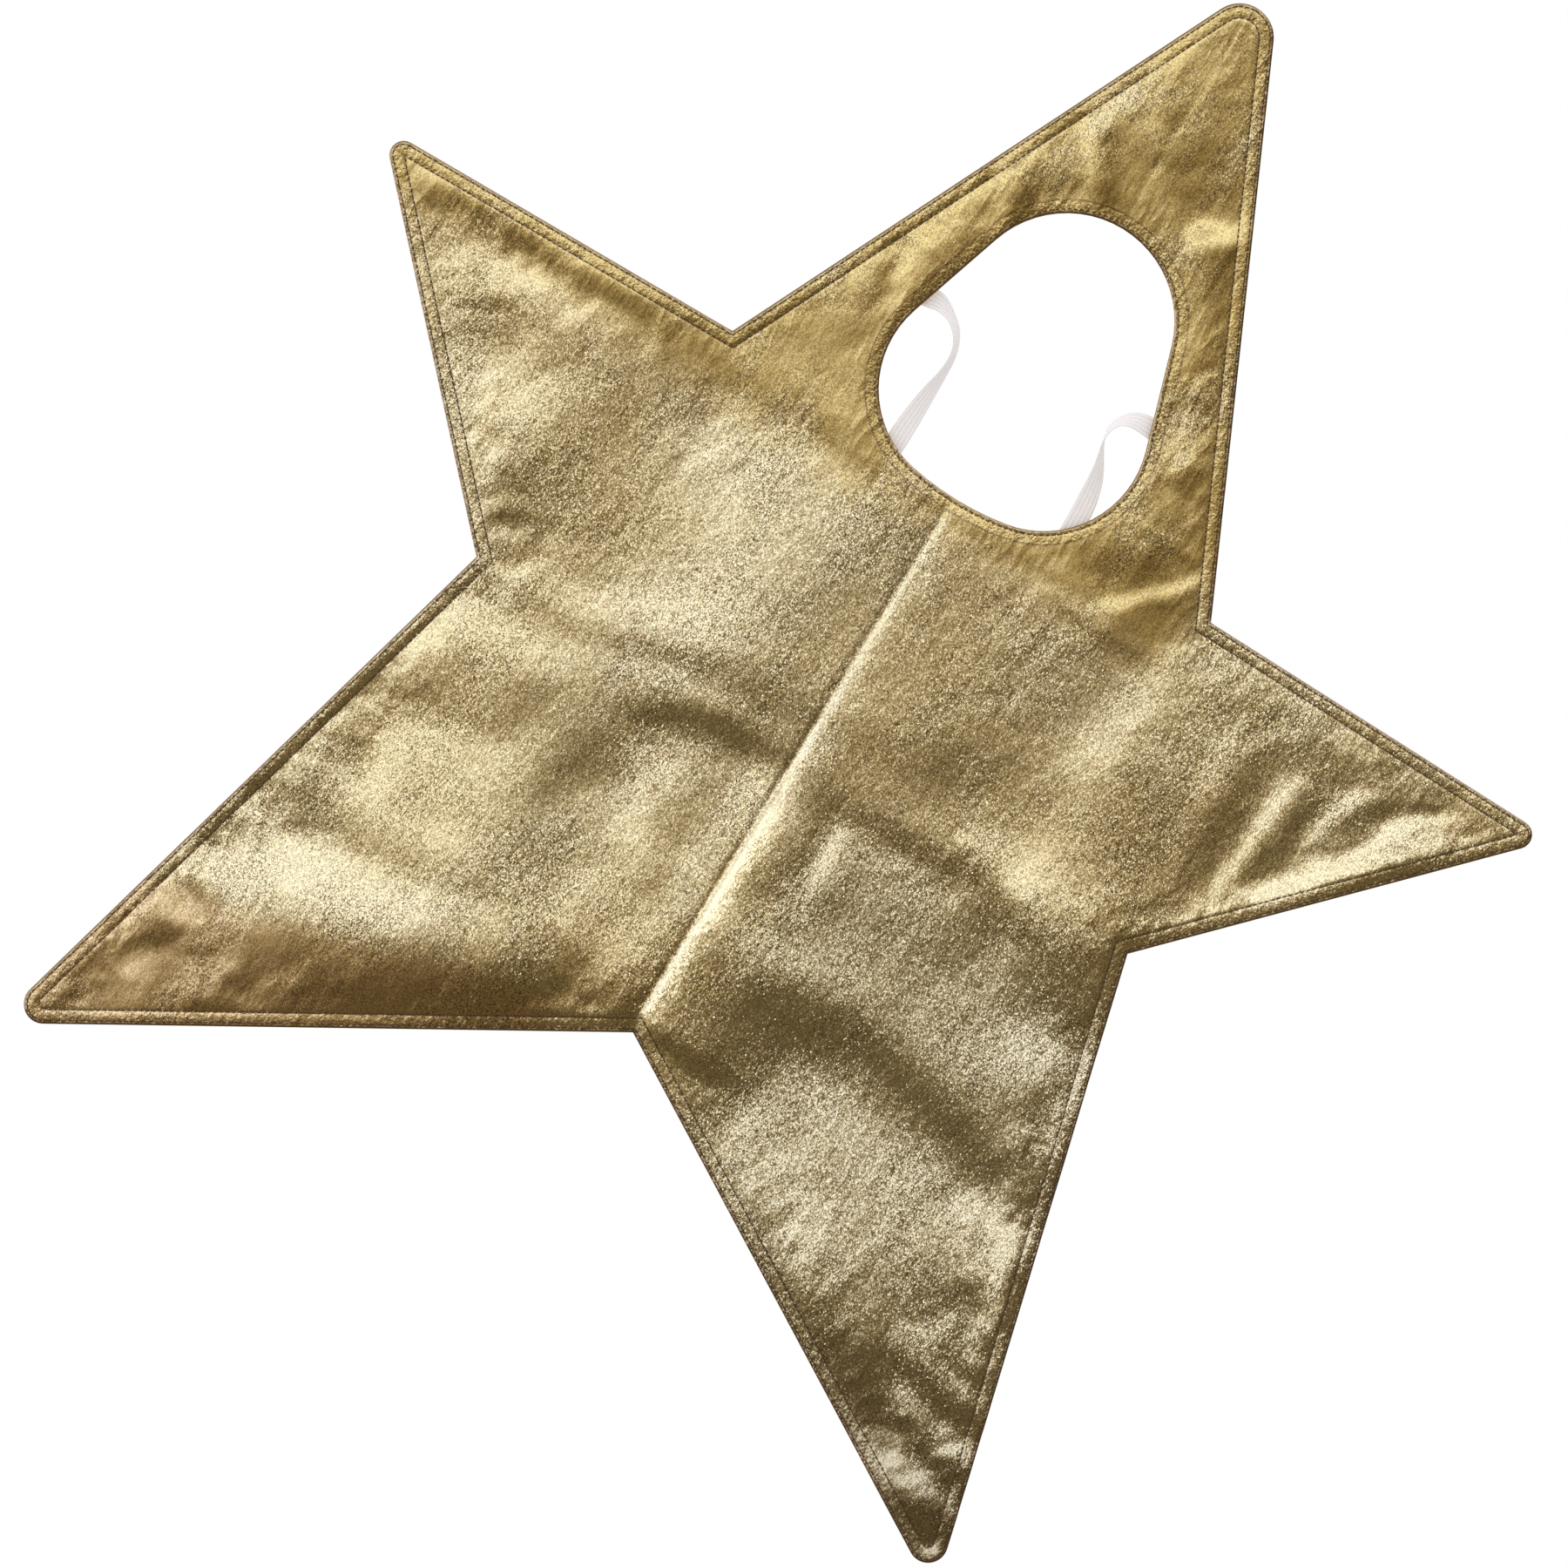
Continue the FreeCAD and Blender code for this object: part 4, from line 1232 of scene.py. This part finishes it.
def add_floor():
    """A plain white floor just under the lower tips, seen only by the camera."""
    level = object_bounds()[0].z - FLOOR_GAP
    mesh = bpy.data.meshes.new("studio_floor")
    corners = [(x * FLOOR_REACH, y * FLOOR_REACH, level) for x, y in ((-1, -1), (1, -1), (1, 1), (-1, 1))]
    mesh.from_pydata(corners, [], [(0, 1, 2, 3)])
    floor = bpy.data.objects.new("studio_floor", mesh)
    bpy.context.collection.objects.link(floor)
    paint = bpy.data.materials.new("white_floor")
    paint.use_nodes = True
    paint.node_tree.nodes.clear()
    glowing = Nodes(paint.node_tree)
    glowing.node("OutputMaterial", {"Surface": glowing.node("Emission", {}).outputs[0]})
    mesh.materials.append(paint)
    floor.visible_diffuse = False
    floor.visible_glossy = False
    floor.visible_shadow = False


def add_camera():
    """The photograph's viewing angle: level, straight on, rolled about the line of sight."""
    right = Vector((CAMERA_ROLL[0], 0.0, CAMERA_ROLL[1])).normalized()
    up = Vector((-CAMERA_ROLL[1], 0.0, CAMERA_ROLL[0])).normalized()
    back = Vector((0.0, -1.0, 0.0))
    turn = Matrix((right, up, back)).transposed().to_4x4()
    lens = bpy.data.cameras.new("camera")
    lens.sensor_width = SENSOR_WIDTH
    lens.lens = SENSOR_WIDTH * CAMERA_DISTANCE / PICTURE_WIDTH
    lens.clip_end = 50
    camera = bpy.data.objects.new("camera", lens)
    camera.matrix_world = Matrix.Translation((CAMERA_AIM[0], -CAMERA_DISTANCE, CAMERA_AIM[1])) @ turn
    bpy.context.collection.objects.link(camera)
    bpy.context.scene.camera = camera
    bpy.context.scene.view_settings.view_transform = "Standard"


# ---- the settled cloth ----

CLOTH_SETTINGS = {"quality": 6, "mass": 0.15, "tension_stiffness": 30, "compression_stiffness": 30,
                  "shear_stiffness": 12, "bending_stiffness": 0.6, "air_damping": 2,
                  "shrink_min": -0.014, "shrink_max": -0.014, "vertex_group_mass": "held",
                  "pin_stiffness": 5}
LARGEST_NUDGE = 0.25
NEAREST = 7


def settle(pattern):
    """Lets a coarse copy of the panel buckle as slightly overlong cloth, held at its hem and its
    opening, and gives back how far each of its points moved."""
    height = hand_relief(pattern.samples)
    vertices = upright(pattern.points, height) * MM
    mesh = bpy.data.meshes.new("settling")
    mesh.from_pydata(vertices.tolist(), [], pattern.triangles.tolist())
    cloth_object = bpy.data.objects.new("settling", mesh)
    bpy.context.collection.objects.link(cloth_object)
    held = cloth_object.vertex_groups.new(name="held")
    hem = np.maximum(1 - smoothstep(8, 14, pattern.samples.depth),
                     1 - smoothstep(3, 9, pattern.samples.opening_depth))
    for index, weight in enumerate(hem):
        held.add([index], float(weight), "REPLACE")
    draw = np.random.default_rng(SEED + 7)
    nudges = draw.uniform(-LARGEST_NUDGE, LARGEST_NUDGE, len(vertices)) * MM * (1 - hem)
    for vertex, nudge in zip(mesh.vertices, nudges):
        vertex.co.y += nudge
    cloth = cloth_object.modifiers.new("cloth", "CLOTH")
    for name, value in CLOTH_SETTINGS.items():
        setattr(cloth.settings, name, value)
    cloth.settings.effector_weights.gravity = 0
    cloth.collision_settings.use_collision = False
    cloth.point_cache.frame_start = 1
    cloth.point_cache.frame_end = SETTLING_FRAMES
    for number in range(1, SETTLING_FRAMES + 1):
        bpy.context.scene.frame_set(number)
    seen = cloth_object.evaluated_get(bpy.context.evaluated_depsgraph_get()).data
    settled = np.empty(3 * len(seen.vertices))
    seen.vertices.foreach_get("co", settled)
    moved = -(settled.reshape(-1, 3)[:, 1] / MM + height)
    bpy.data.objects.remove(cloth_object)
    bpy.context.scene.frame_set(1)
    moved = SETTLING_LIMIT * np.tanh(moved / SETTLING_LIMIT) * (1 - hem)
    tree = tree_of(pattern.points)

    def height_at(points):
        found = [tree.find_n((x, z, 0), NEAREST) for x, z in points]
        numbers = np.array([[f[1] for f in row] for row in found])
        distances = np.array([[f[2] for f in row] for row in found])
        weights = np.exp(-(distances / (0.55 * SIMULATION_STEP)) ** 2) + 1e-9
        return (moved[numbers] * weights).sum(axis=1) / weights.sum(axis=1)

    return height_at


# ---- the pieces ----

def bend(piece):
    """Bakes the piece's placement into its mesh."""
    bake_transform(piece)


def across_halves(piece):
    """Cloth that runs across the fold, in place of both halves' nodes."""
    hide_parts(piece.name + "_left", piece.name + "_right")
    bend(piece)


def stand_in(name, vertices, faces, material, slot, flat=None):
    """A piece that takes the place of the CAD node with the same name."""
    piece = add_object(name, vertices, faces, material, flat)
    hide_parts(name)
    return piece


def make_panel(star, opening, settled):
    """The front shell, the lining and the wadding between them, each a closed sheet."""
    fine = Pattern(star, opening, FINE_RINGS, FINE_OPENING_RINGS, GRID_STEP, CREASE_COLUMNS)
    coarse = Pattern(star, opening, COARSE_RINGS, COARSE_OPENING_RINGS, COARSE_STEP, CREASE_COLUMNS[::2])
    medium = Pattern(star, opening, FINE_RINGS[::2], FINE_OPENING_RINGS, MEDIUM_STEP, CREASE_COLUMNS)
    middle = middle_height(coarse.samples, settled)
    middle_of_back = back_middle(coarse.samples, settled)
    thick = half_thickness(coarse.samples.depth, coarse.samples.opening_depth)
    rim = np.minimum(coarse.samples.depth, coarse.samples.opening_depth) < 0.01
    inside_face = np.where(rim, 0.0, np.maximum(thick - CLOTH_ALLOWANCE, THINNEST))
    fill = FILL_SHARE * inside_face
    across_halves(closed_sheet("front_shell", fine, front_height(fine.samples, settled),
                               coarse, middle + inside_face, lame_material()))
    across_halves(closed_sheet("back_lining", medium, back_height(medium.samples, settled),
                               coarse, middle_of_back - inside_face, lining_material()))
    across_halves(closed_sheet("wadding", coarse, middle + fill,
                               coarse, middle_of_back - fill - THINNEST, wadding_material()))


def make_stitching(star, opening, settled):
    thread = thread_material("brown_sewing_thread", rgb(0.028, 0.014, 0.006), rgb(0.10, 0.055, 0.022), 0.05)
    rows = {"edge_stitching": offset_line(star, 1, EDGE_ROW),
            "inner_stitching": softened(offset_line(star, 1, INNER_ROW), 4),
            "face_stitching": offset_line(opening, -1, FACE_ROW)}
    for name, row in rows.items():
        parts = row_stitches(row, star, opening, settled)
        if name == "edge_stitching":
            parts.append(thread_loop(LOOSE_THREAD_AT, LOOSE_THREAD_RADIUS, 0.22))
        vertices, faces = join_parts(parts)
        across_halves(add_object(name, vertices, faces, thread))


def make_arm_loops():
    """Each arm loop's band, with a folded end and a box of stitches at both of its sewn places."""
    elastic = elastic_material()
    white = thread_material("white_sewing_thread", rgb(0.62, 0.60, 0.57), rgb(0.85, 0.84, 0.82), 0.3)
    for hand, side, path in (("left", -1, LEFT_LOOP), ("right", 1, RIGHT_LOOP)):
        half = hand + "_half"
        vertices, faces, flat = ribbon(smooth_line(path, BAND_STEP), ELASTIC_WIDTH, ELASTIC_HALF_DEPTH)
        strap = stand_in(hand + "_arm_loop", vertices, faces, elastic, "elastic", flat)
        bend(strap)
        for place, z in SEWN_END_Z.items():
            name = hand + "_loop_" + place
            vertices, faces, flat = under_flap(side, z)
            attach(stand_in(name + "_end", vertices, faces, elastic, "elastic", flat), half)
            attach(stand_in(name + "_tack", *box_tack(side, z), white, "white_thread"), half)


def main():
    star, opening = closed_outlines()
    star = resample(star, STAR_EDGE_STEP, ARC_STEP)
    opening = resample(opening, OPENING_EDGE_STEP, ARC_STEP)
    settled = None
    settled = settle(Pattern(star, opening, SETTLING_RINGS, SETTLING_RINGS[:2], SIMULATION_STEP, []))
    make_panel(star, opening, settled)
    make_stitching(star, opening, settled)
    make_arm_loops()
    set_up_world()
    add_floor()
    add_camera()


main()
